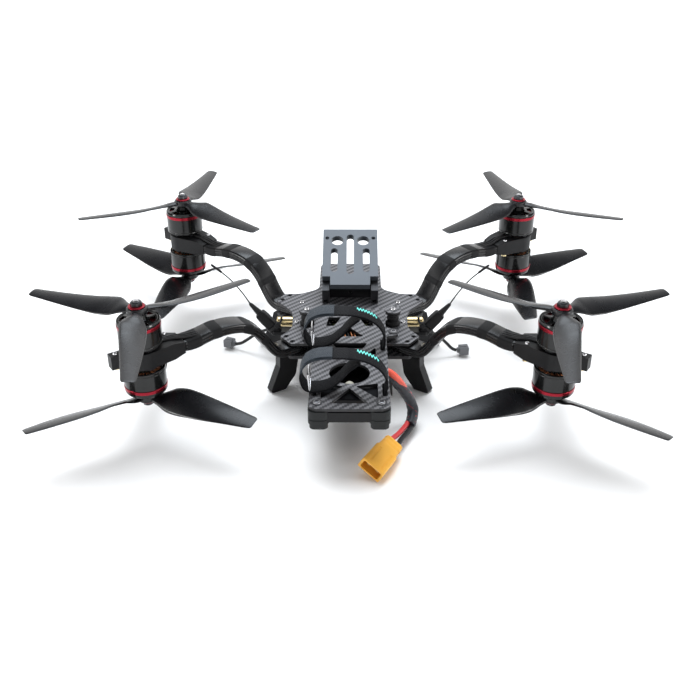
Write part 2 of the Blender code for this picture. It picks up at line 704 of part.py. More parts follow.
# ---------------------------------------------------------------- cords and plugs

POWER_ROUTE = (
    (13.0, -46.0, 46.5), (13.4, -57.0, 46.6), (14.4, -69.0, 47.6), (17.6, -81.0, 49.6),
    (25.2, -90.6, 50.4), (33.0, -94.5, 49.2), (40.0, -95.5, 42.0), (46.6, -93.2, 31.5),
    (51.6, -91.4, 21.0), (53.8, -93.6, 13.2), (52.8, -100.5, 9.4), (50.2, -109.0, 8.8),
    (45.4, -119.6, 9.4), (40.0, -130.2, 10.4), (35.9, -137.9, 10.9),
)
POWER_RADIUS = 4.6
PIGTAIL_ROUTES = {
    "left": ((-56.0, 12.0, 33.6), (-64.0, 14.4, 33.4), (-73.0, 17.6, 31.6), (-82.0, 21.2, 27.4),
             (-90.0, 24.6, 21.6), (-97.5, 27.6, 15.0), (-104.5, 30.4, 9.0), (-110.4, 32.8, 6.2)),
    "right": ((56.0, 12.0, 33.6), (63.0, 13.6, 33.4), (71.0, 15.4, 31.4), (79.0, 17.2, 27.0),
              (86.0, 18.8, 21.2), (92.0, 20.0, 14.8), (97.0, 20.8, 9.0), (101.4, 21.4, 6.4)),
}
PIGTAIL_RADIUS = 1.5


def make_power_plug():
    """High-current plug lying rolled on the ground, its sleeve open at the mating end."""
    sizes = ((-20, 15.5, 8.5), (-18.5, 17.5, 9.5), (-6, 18.2, 10.0), (-4, 20.8, 10.8),
             (20, 21.3, 11.0))
    rings = []
    for along, wide, deep in sizes:
        w, d, c = wide / 2, deep / 2, 2.2
        rings.append([Vector((x, y, along)) for x, y in (
            (w, -d), (w, d - c), (w - c, d), (c - w, d), (-w, d - c), (-w, -d))])
    shell = to_mesh(loft(rings), "plug")
    socket = to_mesh(box((-8.6, 8.6), (-3.9, 3.9), (6, 21)), "socket")
    mesh = joined(shell, [socket], "DIFFERENCE")
    axis = Vector((-0.472, -0.882, -0.010)).normalized()
    wide = Vector((0.759, -0.400, -0.513))
    wide = (wide - axis * wide.dot(axis)).normalized()
    up = axis.cross(wide)
    turn = Matrix((wide, up, axis)).transposed().to_4x4()
    place("power_plug", mesh, PLUG_YELLOW, Matrix.Translation((26.1, -156.2, 10.8)) @ turn)


def make_pigtails():
    """Signal leads with a moulded plug that lies on the ground."""
    for name, route in PIGTAIL_ROUTES.items():
        tube(f"pigtail_{name}", route, PIGTAIL_RADIUS, RUBBER, 4.5)
        ahead = Vector(route[-1]) - Vector(route[-2])
        ahead.z = 0
        ahead.normalize()
        start = Vector(route[-1]) + Vector((ahead.x, ahead.y, -0.1)) * 0.9
        turn = ahead.to_track_quat("Z", "Y").to_matrix().to_4x4()
        plug = turned([(0, 0), (2.6, 0), (3.4, 2.0), (5.6, 2.6), (5.6, 9.0), (4.4, 11.0),
                       (0, 11.0)], sides=12)
        place(f"pigtail_plug_{name}", to_mesh(plug, "pigtail_plug", smooth=True), RUBBER,
              Matrix.Translation(start) @ turn)


def main():
    clear_scene()
    make_rotors()
    make_arms()
    make_plates()
    make_legs()
    make_stack()
    make_side_pieces()
    make_camera_mount()
    make_tray()
    make_tray_frame()
    make_straps()
    tube("power_lead", POWER_ROUTE, POWER_RADIUS, SLEEVE, 9.0, 2)
    make_power_plug()
    make_pigtails()


main()
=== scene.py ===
"""Looks of the coaxial quadcopter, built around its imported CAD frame.

Sizes here are in millimetres in the row frame (+X right, +Y forward, +Z up, ground at z = 0);
they become metres where a mesh, a curve or a place is made.
"""

import math

import bmesh
import bpy
from mathutils import Matrix, Vector, noise


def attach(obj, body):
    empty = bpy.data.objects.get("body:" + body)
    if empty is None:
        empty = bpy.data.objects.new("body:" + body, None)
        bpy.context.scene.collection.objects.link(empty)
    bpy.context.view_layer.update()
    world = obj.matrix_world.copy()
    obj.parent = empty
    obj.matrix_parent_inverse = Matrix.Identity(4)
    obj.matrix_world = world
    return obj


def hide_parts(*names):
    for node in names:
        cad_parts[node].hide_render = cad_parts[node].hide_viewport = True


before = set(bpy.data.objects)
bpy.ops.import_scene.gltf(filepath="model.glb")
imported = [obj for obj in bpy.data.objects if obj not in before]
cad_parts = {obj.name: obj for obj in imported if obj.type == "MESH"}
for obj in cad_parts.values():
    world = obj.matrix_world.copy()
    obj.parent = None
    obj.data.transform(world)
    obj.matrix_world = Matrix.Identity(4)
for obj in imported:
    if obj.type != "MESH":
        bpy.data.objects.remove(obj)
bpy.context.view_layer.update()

MM = 0.001
GAP = 0.3
AIRFRAME = "airframe"
SIDES = {"left": -1, "right": 1}

# Stations of the motors
MOTOR_X = 165.0
MOTOR_Y = 115.0
MOTOR_MID_Z = 81.0
ARM_ANGLES = {1: math.radians(36.3), -1: math.radians(33.2)}
CORNERS = {
    "front_left": (-1, 1),
    "front_right": (1, 1),
    "rear_left": (-1, -1),
    "rear_right": (1, -1),
}
# Angle of the first blade from +X, and whether the propeller turns counter-clockwise from above
PROPELLERS = {
    ("front_left", "upper"): (81.0, True),
    ("front_right", "upper"): (100.0, False),
    ("rear_left", "upper"): (-82.8, False),
    ("rear_right", "upper"): (-96.0, True),
    ("front_left", "lower"): (140.0, False),
    ("front_right", "lower"): (32.5, True),
    ("rear_left", "lower"): (94.7, True),
    ("rear_right", "lower"): (80.5, False),
}

# Arms: stations inboard of the motor axis with the height of the arm's centreline
ARM_WIDTH = 19.0
ARM_THICK = 8.2
TENON = (13.0, 6.6)
TENON_END = 33.3
ARM_LINE = ((18.0, 81.0), (33.3, 81.0), (34.1, 81.0), (44.0, 81.2), (60.0, 84.2), (75.0, 84.3),
    (88.0, 81.4), (97.0, 75.8), (104.5, 67.6), (111.2, 57.0), (117.0, 49.6), (123.4, 46.6), (130.0, 46.5),
    (146.0, 46.5))

# Motor mounts
MOUNT_HALF_THICK = 7.0
MOUNT_INNER = 33.0
MOUNT_OUTER = 27.0
MOUNT_HALF_WIDTH = 9.7
MOUNT_RADIUS = 15.5
LUG_HALF = 4.0
MOUNT_SCREWS = ((-22.0, 0.0), (22.5, 8.6))

# Motors and propellers, heights measured outward from the mount's mid-plane
BELL_RADIUS = 17.2
BELL_INNER = 15.4
BELL_FOOT = 10.5
BELL_TOP = 32.0
SHAFT_RADIUS = 2.5
PROP_LOW = 37.0
PROP_HIGH = 42.0
NUT_TOP = 48.0
PROP_RADIUS = 101.5
# Pitch, then stations of a blade: radius, leading and trailing reach, thickness, lean to the motor
BLADES = {
    "upper": (70.0, (
        (5.0, 4.2, 4.2, 3.3, 0.2), (13.0, 7.5, 6.0, 3.4, 0.6), (22.0, 12.0, 9.0, 3.0, 1.8),
        (34.0, 11.4, 9.5, 2.6, 2.8), (50.0, 10.0, 9.1, 2.2, 3.4), (70.0, 7.9, 8.0, 1.8, 3.6),
        (92.0, 5.6, 6.6, 1.2, 3.6), (97.8, 5.1, 6.2, 1.1, 3.6), (100.2, 4.5, 5.6, 1.0, 3.5),
        (101.2, 3.8, 4.9, 0.85, 3.5), (PROP_RADIUS, 3.1, 4.2, 0.6, 3.5))),
    "lower": (125.0, (
        (5.0, 4.2, 4.2, 3.3, 0.2), (13.0, 8.0, 6.5, 3.4, 0.6), (24.0, 12.6, 10.8, 3.0, 1.8),
        (38.0, 13.6, 12.2, 2.6, 2.8), (56.0, 12.0, 12.0, 2.2, 3.4), (76.0, 9.3, 10.2, 1.6, 3.6),
        (94.0, 6.3, 8.2, 1.2, 3.4), (98.5, 5.6, 7.6, 1.1, 3.4), (100.4, 4.9, 6.8, 1.0, 3.3),
        (101.2, 4.3, 6.1, 0.85, 3.3), (PROP_RADIUS, 3.6, 5.3, 0.6, 3.3))),
}
HUB_RADIUS = 8.5
MAGNETS = 14
TEETH = 12

# Body plates
PLATE_BOTTOM = (38.5, 41.5)
PLATE_TOP = (51.5, 54.0)
PLATE_GAP_MID = 46.5
NOSE_HALF = 30.0
NOSE_FRONT = 115.0
LOWER_FRONT = 62.0
BODY_REAR = -50.5
BAY_HALF = 18.5
BAY_Y = (-44.5, -7.5)
STACK_Y = -26.0

# Battery tray and straps
TRAY = (58.5, 61.0)
TRAY_HALF = 31.6
TRAY_FRONT = 2.0
TRAY_REAR = -164.0
STRAP_WIDTH = 16.5
STRAP_Y = (-65.0, -136.0)
RAIL_LOW = 46.0
TROUGH_LOW = 40.0

# Camera plate: its top face starts at this height at its near edge and rises forward
CAMERA_NEAR = (25.0, 74.0)
CAMERA_TILT = math.radians(22.0)
CAMERA_LENGTH = 72.5
CAMERA_HALF = 26.2
CAMERA_THICK = 6.0

ANTENNA_Y = -8.0
TOW = 1.9  # width of one carbon tow

# The cords' routes, point for point as in the CAD model
POWER_ROUTE = ((13.0, -46.0, 46.5), (13.4, -57.0, 46.6), (14.4, -69.0, 47.6), (17.6, -81.0, 49.6),
    (25.2, -90.6, 50.4), (33.0, -94.5, 49.2), (40.0, -95.5, 42.0), (46.6, -93.2, 31.5), (51.6, -91.4, 21.0),
    (53.8, -93.6, 13.2), (52.8, -100.5, 9.4), (50.2, -109.0, 8.8), (45.4, -119.6, 9.4),
    (40.0, -130.2, 10.4), (35.9, -137.9, 10.9))
PIGTAIL_ROUTES = {
    "left": ((-56.0, 12.0, 33.6), (-64.0, 14.4, 33.4), (-73.0, 17.6, 31.6), (-82.0, 21.2, 27.4),
             (-90.0, 24.6, 21.6), (-97.5, 27.6, 15.0), (-104.5, 30.4, 9.0), (-110.4, 32.8, 6.2)),
    "right": ((56.0, 12.0, 33.6), (63.0, 13.6, 33.4), (71.0, 15.4, 31.4), (79.0, 17.2, 27.0),
              (86.0, 18.8, 21.2), (92.0, 20.0, 14.8), (97.0, 20.8, 9.0), (101.4, 21.4, 6.4)),
}
WIRE_RADIUS = 2.2
PIGTAIL_RADIUS = 1.5
PLUG_SPOT = (26.1, -156.2, 10.8)
PLUG_AXIS = Vector((-0.472, -0.882, -0.010)).normalized()
PLUG_WIDE = Vector((0.759, -0.400, -0.513))


# ---------------------------------------------------------------- mesh helpers

def linked(name, data):
    """New object in the scene."""
    made = bpy.data.objects.new(name, data)
    bpy.context.scene.collection.objects.link(made)
    return made


def in_metres(matrix):
    """Matrix given in millimetres, for meshes in metres."""
    made = matrix.copy()
    made.translation = matrix.translation * MM
    return made


def moved(mesh, matrix):
    mesh.transform(in_metres(matrix))
    return mesh


def to_mesh(bm, angle=35.0):
    """Mesh in metres from a bmesh in millimetres, smooth across edges below that angle."""
    bmesh.ops.recalc_face_normals(bm, faces=bm.faces[:])
    bmesh.ops.scale(bm, vec=(MM, MM, MM), verts=bm.verts[:])
    mesh = bpy.data.meshes.new("mesh")
    bm.to_mesh(mesh)
    bm.free()
    mesh.shade_smooth()
    mesh.set_sharp_from_angle(angle=math.radians(angle))
    return mesh


def evaluated(holder, others=()):
    """Mesh of an object with its modifiers applied; the objects are removed."""
    graph = bpy.context.evaluated_depsgraph_get()
    made = bpy.data.meshes.new_from_object(holder.evaluated_get(graph))
    for item in [holder, *others]:
        bpy.data.objects.remove(item, do_unlink=True)
    return made


def eased(mesh, width=0.35, segments=2, limit=32.0):
    """Mesh with its sharp edges rounded over, and flat faces that shade flat."""
    holder = linked("loose", mesh)
    bevel = holder.modifiers.new("bevel", "BEVEL")
    bevel.width = width * MM
    bevel.segments = segments
    bevel.limit_method = "ANGLE"
    bevel.angle_limit = math.radians(limit)
    bevel.loop_slide = False
    bevel.face_strength_mode = "FSTR_AFFECTED"
    made = evaluated(holder)
    made.shade_smooth()
    holder = linked("loose", made)
    weighted = holder.modifiers.new("weighted", "WEIGHTED_NORMAL")
    weighted.weight = 100
    weighted.use_face_influence = True
    return evaluated(holder)


def joined(first, others, operation="UNION"):
    """First mesh with the others joined to it or cut from it."""
    base = linked("loose", first)
    tools = [linked("loose", mesh) for mesh in others]
    for tool in tools:
        change = base.modifiers.new("change", "BOOLEAN")
        change.operation = operation
        change.object = tool
        change.solver = "EXACT"
    made = evaluated(base, tools)
    made.shade_smooth()
    made.set_sharp_from_angle(angle=math.radians(35))
    return made


def carved(first, others):
    return joined(first, others, "DIFFERENCE")


def gathered(parts):
    """One mesh of several, each a mesh or a (mesh, matrix in millimetres) pair."""
    bm = bmesh.new()
    for part in parts:
        mesh, matrix = part if isinstance(part, tuple) else (part, Matrix())
        start = len(bm.verts)
        bm.from_mesh(mesh)
        bm.verts.ensure_lookup_table()
        bmesh.ops.transform(bm, matrix=in_metres(matrix), verts=bm.verts[start:])
    made = bpy.data.meshes.new("gathered")
    bm.to_mesh(made)
    bm.free()
    return made


def rounded(corners, steps=7):
    """Outline from (x, y, radius) corners, each corner turned into an arc."""
    outline = []
    for index, (x, y, radius) in enumerate(corners):
        corner = Vector((x, y))
        if radius == 0:
            outline.append(corner)
            continue
        before = (Vector(corners[index - 1][:2]) - corner).normalized()
        after = (Vector(corners[(index + 1) % len(corners)][:2]) - corner).normalized()
        half = before.angle(after) / 2
        centre = corner + (before + after).normalized() * radius / math.sin(half)
        reach = radius / math.tan(half)
        start = (corner + before * reach - centre).normalized()
        end = (corner + after * reach - centre).normalized()
        sweep = start.angle(end)
        for step in range(steps + 1):
            t = step / steps
            spoke = start * math.sin((1 - t) * sweep) + end * math.sin(t * sweep)
            outline.append(centre + spoke / math.sin(sweep) * radius)
    return outline


def panel(x, y, near, far=None, steps=4):
    """Rectangle between pairs of coordinates; its corners at low y may differ from those at high y."""
    far = near if far is None else far
    return rounded([(x[0], y[0], near), (x[1], y[0], near), (x[1], y[1], far), (x[0], y[1], far)], steps)


def mirrored(corners):
    """Right-hand corners from front to rear, followed by their mirror images."""
    return corners + [(-x, y, radius) for x, y, radius in reversed(corners)]


def polar(radius, turn):
    return Vector((radius * math.cos(turn), radius * math.sin(turn)))


def both(half):
    return -half, half


def at_height(outline, height):
    return [Vector((point.x, point.y, height)) for point in outline]


def circle(x, y, radius, sides=32):
    return [Vector((x, y)) + polar(radius, math.tau * side / sides) for side in range(sides)]


def long_slot(x, low, high, width):
    """Slot with round ends, running along Y."""
    half = width / 2
    return panel((x - half, x + half), (low, high), half * 0.98, steps=7)


def slab(outline, holes, low, high):
    """Flat piece between two heights, with holes right through it."""
    bm = bmesh.new()
    edges = []
    for loop in [outline] + holes:
        verts = [bm.verts.new((point[0], point[1], low)) for point in loop]
        edges += [bm.edges.new(pair) for pair in zip(verts, verts[1:] + verts[:1])]
    bmesh.ops.triangle_fill(bm, use_beauty=True, use_dissolve=False, edges=edges)
    raised = bmesh.ops.extrude_face_region(bm, geom=bm.faces[:])
    verts = [item for item in raised["geom"] if isinstance(item, bmesh.types.BMVert)]
    bmesh.ops.translate(bm, vec=(0, 0, high - low), verts=verts)
    return to_mesh(bm)


def box(x, y, z, radius=0.0):
    """Block between pairs of coordinates, its upright corners rounded."""
    return slab(panel(x, y, radius), [], *z)


def hexed(bm, low, high, size):
    """Bends the round walls between two radii into a hexagon of that size across its corners."""
    for vert in bm.verts:
        radius = math.hypot(vert.co.x, vert.co.y)
        if low <= radius <= high:
            turn = math.atan2(vert.co.y, vert.co.x) % (math.pi / 3) - math.pi / 6
            scale = size * math.cos(math.pi / 6) / math.cos(turn) / radius
            vert.co.x *= scale
            vert.co.y *= scale


def turned(profile, ring=False, sides=48, angle=35, hexagon=None):
    """Solid of revolution about Z from (radius, height) points."""
    bm = bmesh.new()
    verts = [bm.verts.new((radius, 0, height)) for radius, height in profile]
    pairs = list(zip(verts, verts[1:]))
    if ring:
        pairs.append((verts[-1], verts[0]))
    edges = [bm.edges.new(pair) for pair in pairs]
    bmesh.ops.spin(bm, geom=verts + edges, cent=(0, 0, 0), axis=(0, 0, 1), angle=math.tau, steps=sides,
                   use_merge=True)
    bmesh.ops.remove_doubles(bm, verts=bm.verts[:], dist=0.001)
    if hexagon:
        hexed(bm, *hexagon)
    return to_mesh(bm, angle)


def loft(rings, angle=35):
    """Closed skin through rings of points, with flat ends."""
    bm = bmesh.new()
    loops = [[bm.verts.new(point) for point in ring] for ring in rings]
    for first, second in zip(loops, loops[1:]):
        for index in range(len(first)):
            after = (index + 1) % len(first)
            bm.faces.new((first[index], first[after], second[after], second[index]))
    bm.faces.new(loops[0])
    bm.faces.new(loops[-1])
    return to_mesh(bm, angle)


def smooth_line(points, per_span):
    """Points on a Catmull-Rom curve through the given points."""
    line = [Vector(point) for point in points]
    padded = [2 * line[0] - line[1]] + line + [2 * line[-1] - line[-2]]
    made = []
    for a, b, c, d in zip(padded, padded[1:], padded[2:], padded[3:]):
        for step in range(per_span):
            t = step / per_span
            bend = (2 * a - 5 * b + 4 * c - d) * t * t + (3 * b - a - 3 * c + d) * t ** 3
            made.append(0.5 * (2 * b + (c - a) * t + bend))
    return made + [line[-1]]


def smooth_fan(rows, per_span):
    """Rows of any number of values, with more rows on a smooth curve between them."""
    columns = [smooth_line([(value, 0, 0) for value in column], per_span) for column in zip(*rows)]
    return [tuple(spot.x for spot in row) for row in zip(*columns)]


def headings(points):
    """Direction of a line at each of its points."""
    last = len(points) - 1
    return [(points[min(i + 1, last)] - points[max(i - 1, 0)]).normalized() for i in range(len(points))]


def travelled(points):
    """Length along a line at each of its points."""
    total = [0.0]
    for first, second in zip(points, points[1:]):
        total.append(total[-1] + (second - first).length)
    return total


def carried(points, start):
    """Cross directions carried along a line without twist, beginning near the given one."""
    made = []
    across = Vector(start)
    for ahead in headings(points):
        across = (across - ahead * across.dot(ahead)).normalized()
        made.append(across.copy())
    return made


def pipe(points, radii, sides=14, start=(0, 0, 1), flat=1.0, ripple=None, angle=60):
    """Tube with one radius or a radius at each point; ripple(distance, turn) adds to the radius."""
    radii = [radii] * len(points) if isinstance(radii, float) else radii
    rings = []
    rows = zip(points, radii, travelled(points), carried(points, start), headings(points))
    for point, wide, spot, across, ahead in rows:
        other = ahead.cross(across)
        ring = []
        for side in range(sides):
            turn = math.tau * side / sides
            reach = polar(wide + (ripple(spot, turn) if ripple else 0.0), turn)
            ring.append(point + across * reach.x * flat + other * reach.y)
        rings.append(ring)
    return loft(rings, angle)


def even(points, step):
    """Points an even step apart along a line of close points."""
    made = [points[0]]
    for point in points[1:-1]:
        if (point - made[-1]).length >= step and (points[-1] - point).length >= step / 2:
            made.append(point)
    return made + [points[-1]]


def shifted(x, y, z):
    return Matrix.Translation((x, y, z))


def rotated(angle, axis="Z"):
    return Matrix.Rotation(angle, 4, axis)


def upright(mesh):
    """Stands a slab drawn in X and Y up, so that its Y becomes Z and its thickness runs along -Y."""
    return moved(mesh, rotated(math.pi / 2, "X"))


def sideways(mesh):
    """Turns a slab drawn as (Y, Z) so that its thickness lies along X."""
    return moved(mesh, Matrix(((0, 0, 1, 0), (1, 0, 0, 0), (0, 1, 0, 0), (0, 0, 0, 1))))


def aimed(spot, axis):
    """Matrix at a spot whose Z axis points along the given direction."""
    return shifted(*spot) @ Vector(axis).to_track_quat("Z", "Y").to_matrix().to_4x4()


# ---------------------------------------------------------------- material helpers

FINISHES = {}


def rgb(colour):
    """Three numbers from a colour that may be given as one grey."""
    return (colour,) * 3 if isinstance(colour, float) else colour


def principled(name, slot, colour, roughness, metallic=0.0, coat=0.0, specular=0.5):
    """New material, with its plain values on the shader's own sockets; its slot is not used."""
    made = bpy.data.materials.new(name)
    made.use_nodes = True
    inputs = made.node_tree.nodes["Principled BSDF"].inputs
    inputs["Base Color"].default_value = (*rgb(colour), 1.0)
    inputs["Roughness"].default_value = roughness
    inputs["Metallic"].default_value = metallic
    inputs["Coat Weight"].default_value = coat
    inputs["Coat Roughness"].default_value = 0.2
    inputs["Specular IOR Level"].default_value = specular
    FINISHES[name] = made
    return made


def node(made, kind, values=None, output=0, **settings):
    """Output of a new node, as a field; its inputs are set to numbers or linked to other fields."""
    item = made.node_tree.nodes.new(kind)
    for key, value in settings.items():
        setattr(item, key, value)
    for key, value in (values or {}).items():
        if isinstance(value, Field):
            made.node_tree.links.new(value.socket, item.inputs[key])
        else:
            item.inputs[key].default_value = value
    return Field(made, item.outputs[output])


class Field:
    """Value that varies over a surface; arithmetic on it adds math nodes to its material."""

    def __init__(self, made, socket):
        self.made = made
        self.socket = socket

    def maths(self, operation, *others):
        return node(self.made, "ShaderNodeMath", dict(enumerate((self, *others))), operation=operation)

    def __add__(self, other):
        return self.maths("ADD", other)

    def __sub__(self, other):
        return self.maths("SUBTRACT", other)

    def __mul__(self, other):
        return self.maths("MULTIPLY", other)

    def __truediv__(self, other):
        return self.maths("DIVIDE", other)

    def sine(self, rate):
        return (self * rate).maths("SINE")

    def above(self, bound):
        return self.maths("GREATER_THAN", bound)

    def below(self, bound):
        return self.maths("LESS_THAN", bound)

    def spread(self, low, high):
        """A 0 to 1 value spread from low to high."""
        return self.maths("MULTIPLY_ADD", high - low, low)

    def blend(self, first, second):
        """Value between two, this one being the share of the second."""
        return node(self.made, "ShaderNodeMix", {0: self, 2: first, 3: second})

    def mix(self, first, second):
        """Colour between two, each a field, three numbers or one grey."""
        values = {0: self}
        for index, colour in ((6, first), (7, second)):
            values[index] = colour if isinstance(colour, Field) else (*rgb(colour), 1.0)
        return node(self.made, "ShaderNodeMix", values, 2, data_type="RGBA")

    def bump(self, strength, depth, under=None):
        """Normal from this height, that deep in millimetres, over another normal."""
        values = {"Height": self, "Strength": strength, "Distance": depth * MM}
        if under:
            values["Normal"] = under
        return node(self.made, "ShaderNodeBump", values)


def object_spot(made):
    """Object coordinates in millimetres, and their three parts."""
    values = {0: node(made, "ShaderNodeTexCoord", output="Object"), 1: (1 / MM,) * 3}
    spot = node(made, "ShaderNodeVectorMath", values, operation="MULTIPLY")
    return [spot] + [node(made, "ShaderNodeSeparateXYZ", {0: spot}, axis) for axis in range(3)]


def speckle(spot, size, detail=3.0, stretch=(1, 1, 1)):
    """Noise whose grains are about that many millimetres across."""
    scale = tuple(part / size for part in stretch)
    placed = node(spot.made, "ShaderNodeVectorMath", {0: spot, 1: scale}, operation="MULTIPLY")
    return node(spot.made, "ShaderNodeTexNoise", {"Vector": placed, "Scale": 1.0, "Detail": detail}, "Fac")


def painted(made, colour, roughness=None, normal=None):
    """Links fields to the shader's colour, roughness and normal."""
    inputs = made.node_tree.nodes["Principled BSDF"].inputs
    for name, value in (("Base Color", colour), ("Roughness", roughness), ("Normal", normal)):
        if value:
            made.node_tree.links.new(value.socket, inputs[name])


# ---------------------------------------------------------------- finishes

def moulded(name, slot, colour, roughness, grain, sheen_colour, layers=0.0, edge=0.4, **plain):
    """Plastic, rubber or coated metal: fine grain, uneven gloss, and a painted sheen that makes sharp edges
    paler.
    """
    made = principled(name, slot, colour, roughness, **plain)
    spot, _, _, z = object_spot(made)
    broad = speckle(spot, 14.0, 4.0)
    # Painted highlight: pointiness finds sharp convex edges, and there the colour is mixed toward a paler
    # sheen colour
    pointed = node(made, "ShaderNodeNewGeometry", output="Pointiness")
    edge_sheen = node(made, "ShaderNodeMapRange", {0: pointed, 1: 0.52, 2: 0.60})
    deeper = tuple(part * 0.75 for part in rgb(colour))
    normal = speckle(spot, grain).bump(0.35, 0.04)
    if layers:
        normal = z.sine(math.tau / layers).bump(0.25, 0.05, normal)
    painted(made, (edge_sheen * broad.spread(edge * 0.5, edge)).mix(broad.mix(deeper, colour), sheen_colour),
            broad.spread(roughness * 0.85, min(1.0, roughness * 1.15)), normal)


def carbon():
    """Two-by-two twill: pale tows step diagonally; the cut edges show plain dark layers."""
    made = principled("carbon", "carbon_plate", (0.05, 0.05, 0.055), 0.45, specular=0.4)
    spot, x, y, z = object_spot(made)
    tows = x / TOW, y / TOW
    step = tows[0].maths("FLOOR") - tows[1].maths("FLOOR")
    pale = step.maths("FLOORED_MODULO", 4.0).below(1.5)
    crown = pale.blend(*[tow.maths("FRACT").sine(math.pi) for tow in tows])
    streaks = [speckle(spot, 1.0, 2.0, stretch) for stretch in ((7.0, 0.15, 1.0), (0.15, 7.0, 1.0))]
    fibre = pale.blend(*streaks)
    dark_tow = fibre.mix((0.016, 0.016, 0.018), (0.040, 0.040, 0.045))
    pale_tow = fibre.mix((0.080, 0.080, 0.087), (0.155, 0.155, 0.166))
    facing = node(made, "ShaderNodeTexCoord", output="Normal")
    top = node(made, "ShaderNodeSeparateXYZ", {0: facing}, 2).maths("ABSOLUTE").above(0.75)
    edge = z.sine(math.tau / 0.5).mix((0.010, 0.010, 0.011), (0.040, 0.040, 0.044))
    painted(made, top.mix(edge, pale.mix(dark_tow, pale_tow)), pale.spread(0.55, 0.45),
            (crown * top).bump(0.5, 0.10))


def aluminium():
    """Blue-grey anodised sheet with a bead-blasted grain."""
    made = principled("aluminium", "camera_aluminium", (0.07, 0.08, 0.095), 0.45, metallic=0.2)
    spot = object_spot(made)[0]
    fine = speckle(spot, 0.25, 2.0)
    colour = speckle(spot, 20.0, 4.0).mix((0.066, 0.076, 0.090), (0.080, 0.092, 0.108))
    painted(made, colour, fine.spread(0.36, 0.52), fine.bump(0.3, 0.03))


def copper():
    """Enamelled windings: wires side by side round each coil."""
    made = principled("copper", "copper_winding", (0.55, 0.20, 0.09), 0.32, metallic=0.9)
    spot = object_spot(made)[0]
    radius = node(made, "ShaderNodeVectorMath", {0: spot}, "Value", operation="LENGTH")
    tone = speckle(spot, 2.5)
    painted(made, tone.mix((0.30, 0.09, 0.04), (0.72, 0.30, 0.14)), tone.spread(0.25, 0.45),
            radius.sine(math.tau / 0.8).bump(0.6, 0.15))


def webbing():
    """Strap: woven black with a satin folded-back end, a plain patch and a teal wave."""
    made = principled("webbing", "webbing", (0.02, 0.021, 0.024), 0.6, specular=0.08)
    spot, x, y, z = object_spot(made)
    high = z.above(76.0)
    base = speckle(spot, 1.2).mix((0.003, 0.003, 0.004), (0.007, 0.0075, 0.009))
    satin = x.below(-13.0) * z.above(80.0)
    slub = speckle(spot, 2.2, 4.0, (0.5, 3.0, 0.5)).mix((0.014, 0.018, 0.023), (0.050, 0.060, 0.072))
    rings = (x - y).sine(2.4)
    patch = x.above(-13.0) * x.below(-1.0) * high
    patched = patch.mix(satin.mix(base, slub), rings.mix((0.005, 0.005, 0.006), (0.014, 0.015, 0.017)))
    wave = (x.sine(2.6) * 1.5 + y - 4.6).maths("ABSOLUTE").below(1.5)
    mark = x.above(6.0) * x.below(23.0) * high * wave
    weave = y.sine(math.tau / 0.7) * (x + z).sine(math.tau / 0.9)
    painted(made, mark.mix(patched, (0.15, 0.62, 0.56)), satin.spread(0.62, 0.36),
            weave.bump(0.45, 0.12, rings.bump(0.2, 0.1)))


def wrap():
    """Creased tape round the power lead, with painted shade in its crease hollows and a red thread showing
    at its overlaps.
    """
    made = principled("wrap", "lead_sleeve", (0.05, 0.055, 0.07), 0.38, specular=0.4)
    spot, x, y, z = object_spot(made)
    crease = speckle(spot, 3.5, 5.0, (1.0, 1.0, 2.0))
    lap = ((y * 0.8 + z + x) / 13.0).maths("FRACT")
    seam = (lap - 0.5).maths("ABSOLUTE").below(0.02)
    # Painted shade: the tape darkens where the crease height is low and turns paler on the raised ridges
    body = crease.mix((0.010, 0.011, 0.014), (0.038, 0.042, 0.052))
    painted(made, (seam * crease.above(0.5)).mix(body, (0.30, 0.02, 0.03)), crease.spread(0.28, 0.55),
            crease.bump(0.7, 0.5, seam.bump(0.4, 0.3)))


def board():
    """Solder-masked circuit board with fine tracks and pads."""
    made = principled("board", "circuit_board", (0.01, 0.03, 0.02), 0.35, coat=0.4)
    spot = object_spot(made)[0]
    cells = node(made, "ShaderNodeTexVoronoi", {"Vector": spot, "Scale": 0.55}, "Distance",
                 feature="DISTANCE_TO_EDGE")
    track = cells.below(0.06)
    tone = speckle(spot, 6.0)
    mask = tone.mix((0.006, 0.016, 0.014), (0.012, 0.034, 0.028))
    painted(made, track.mix(mask, (0.05, 0.09, 0.07)), tone.spread(0.25, 0.45), track.bump(0.4, 0.05))


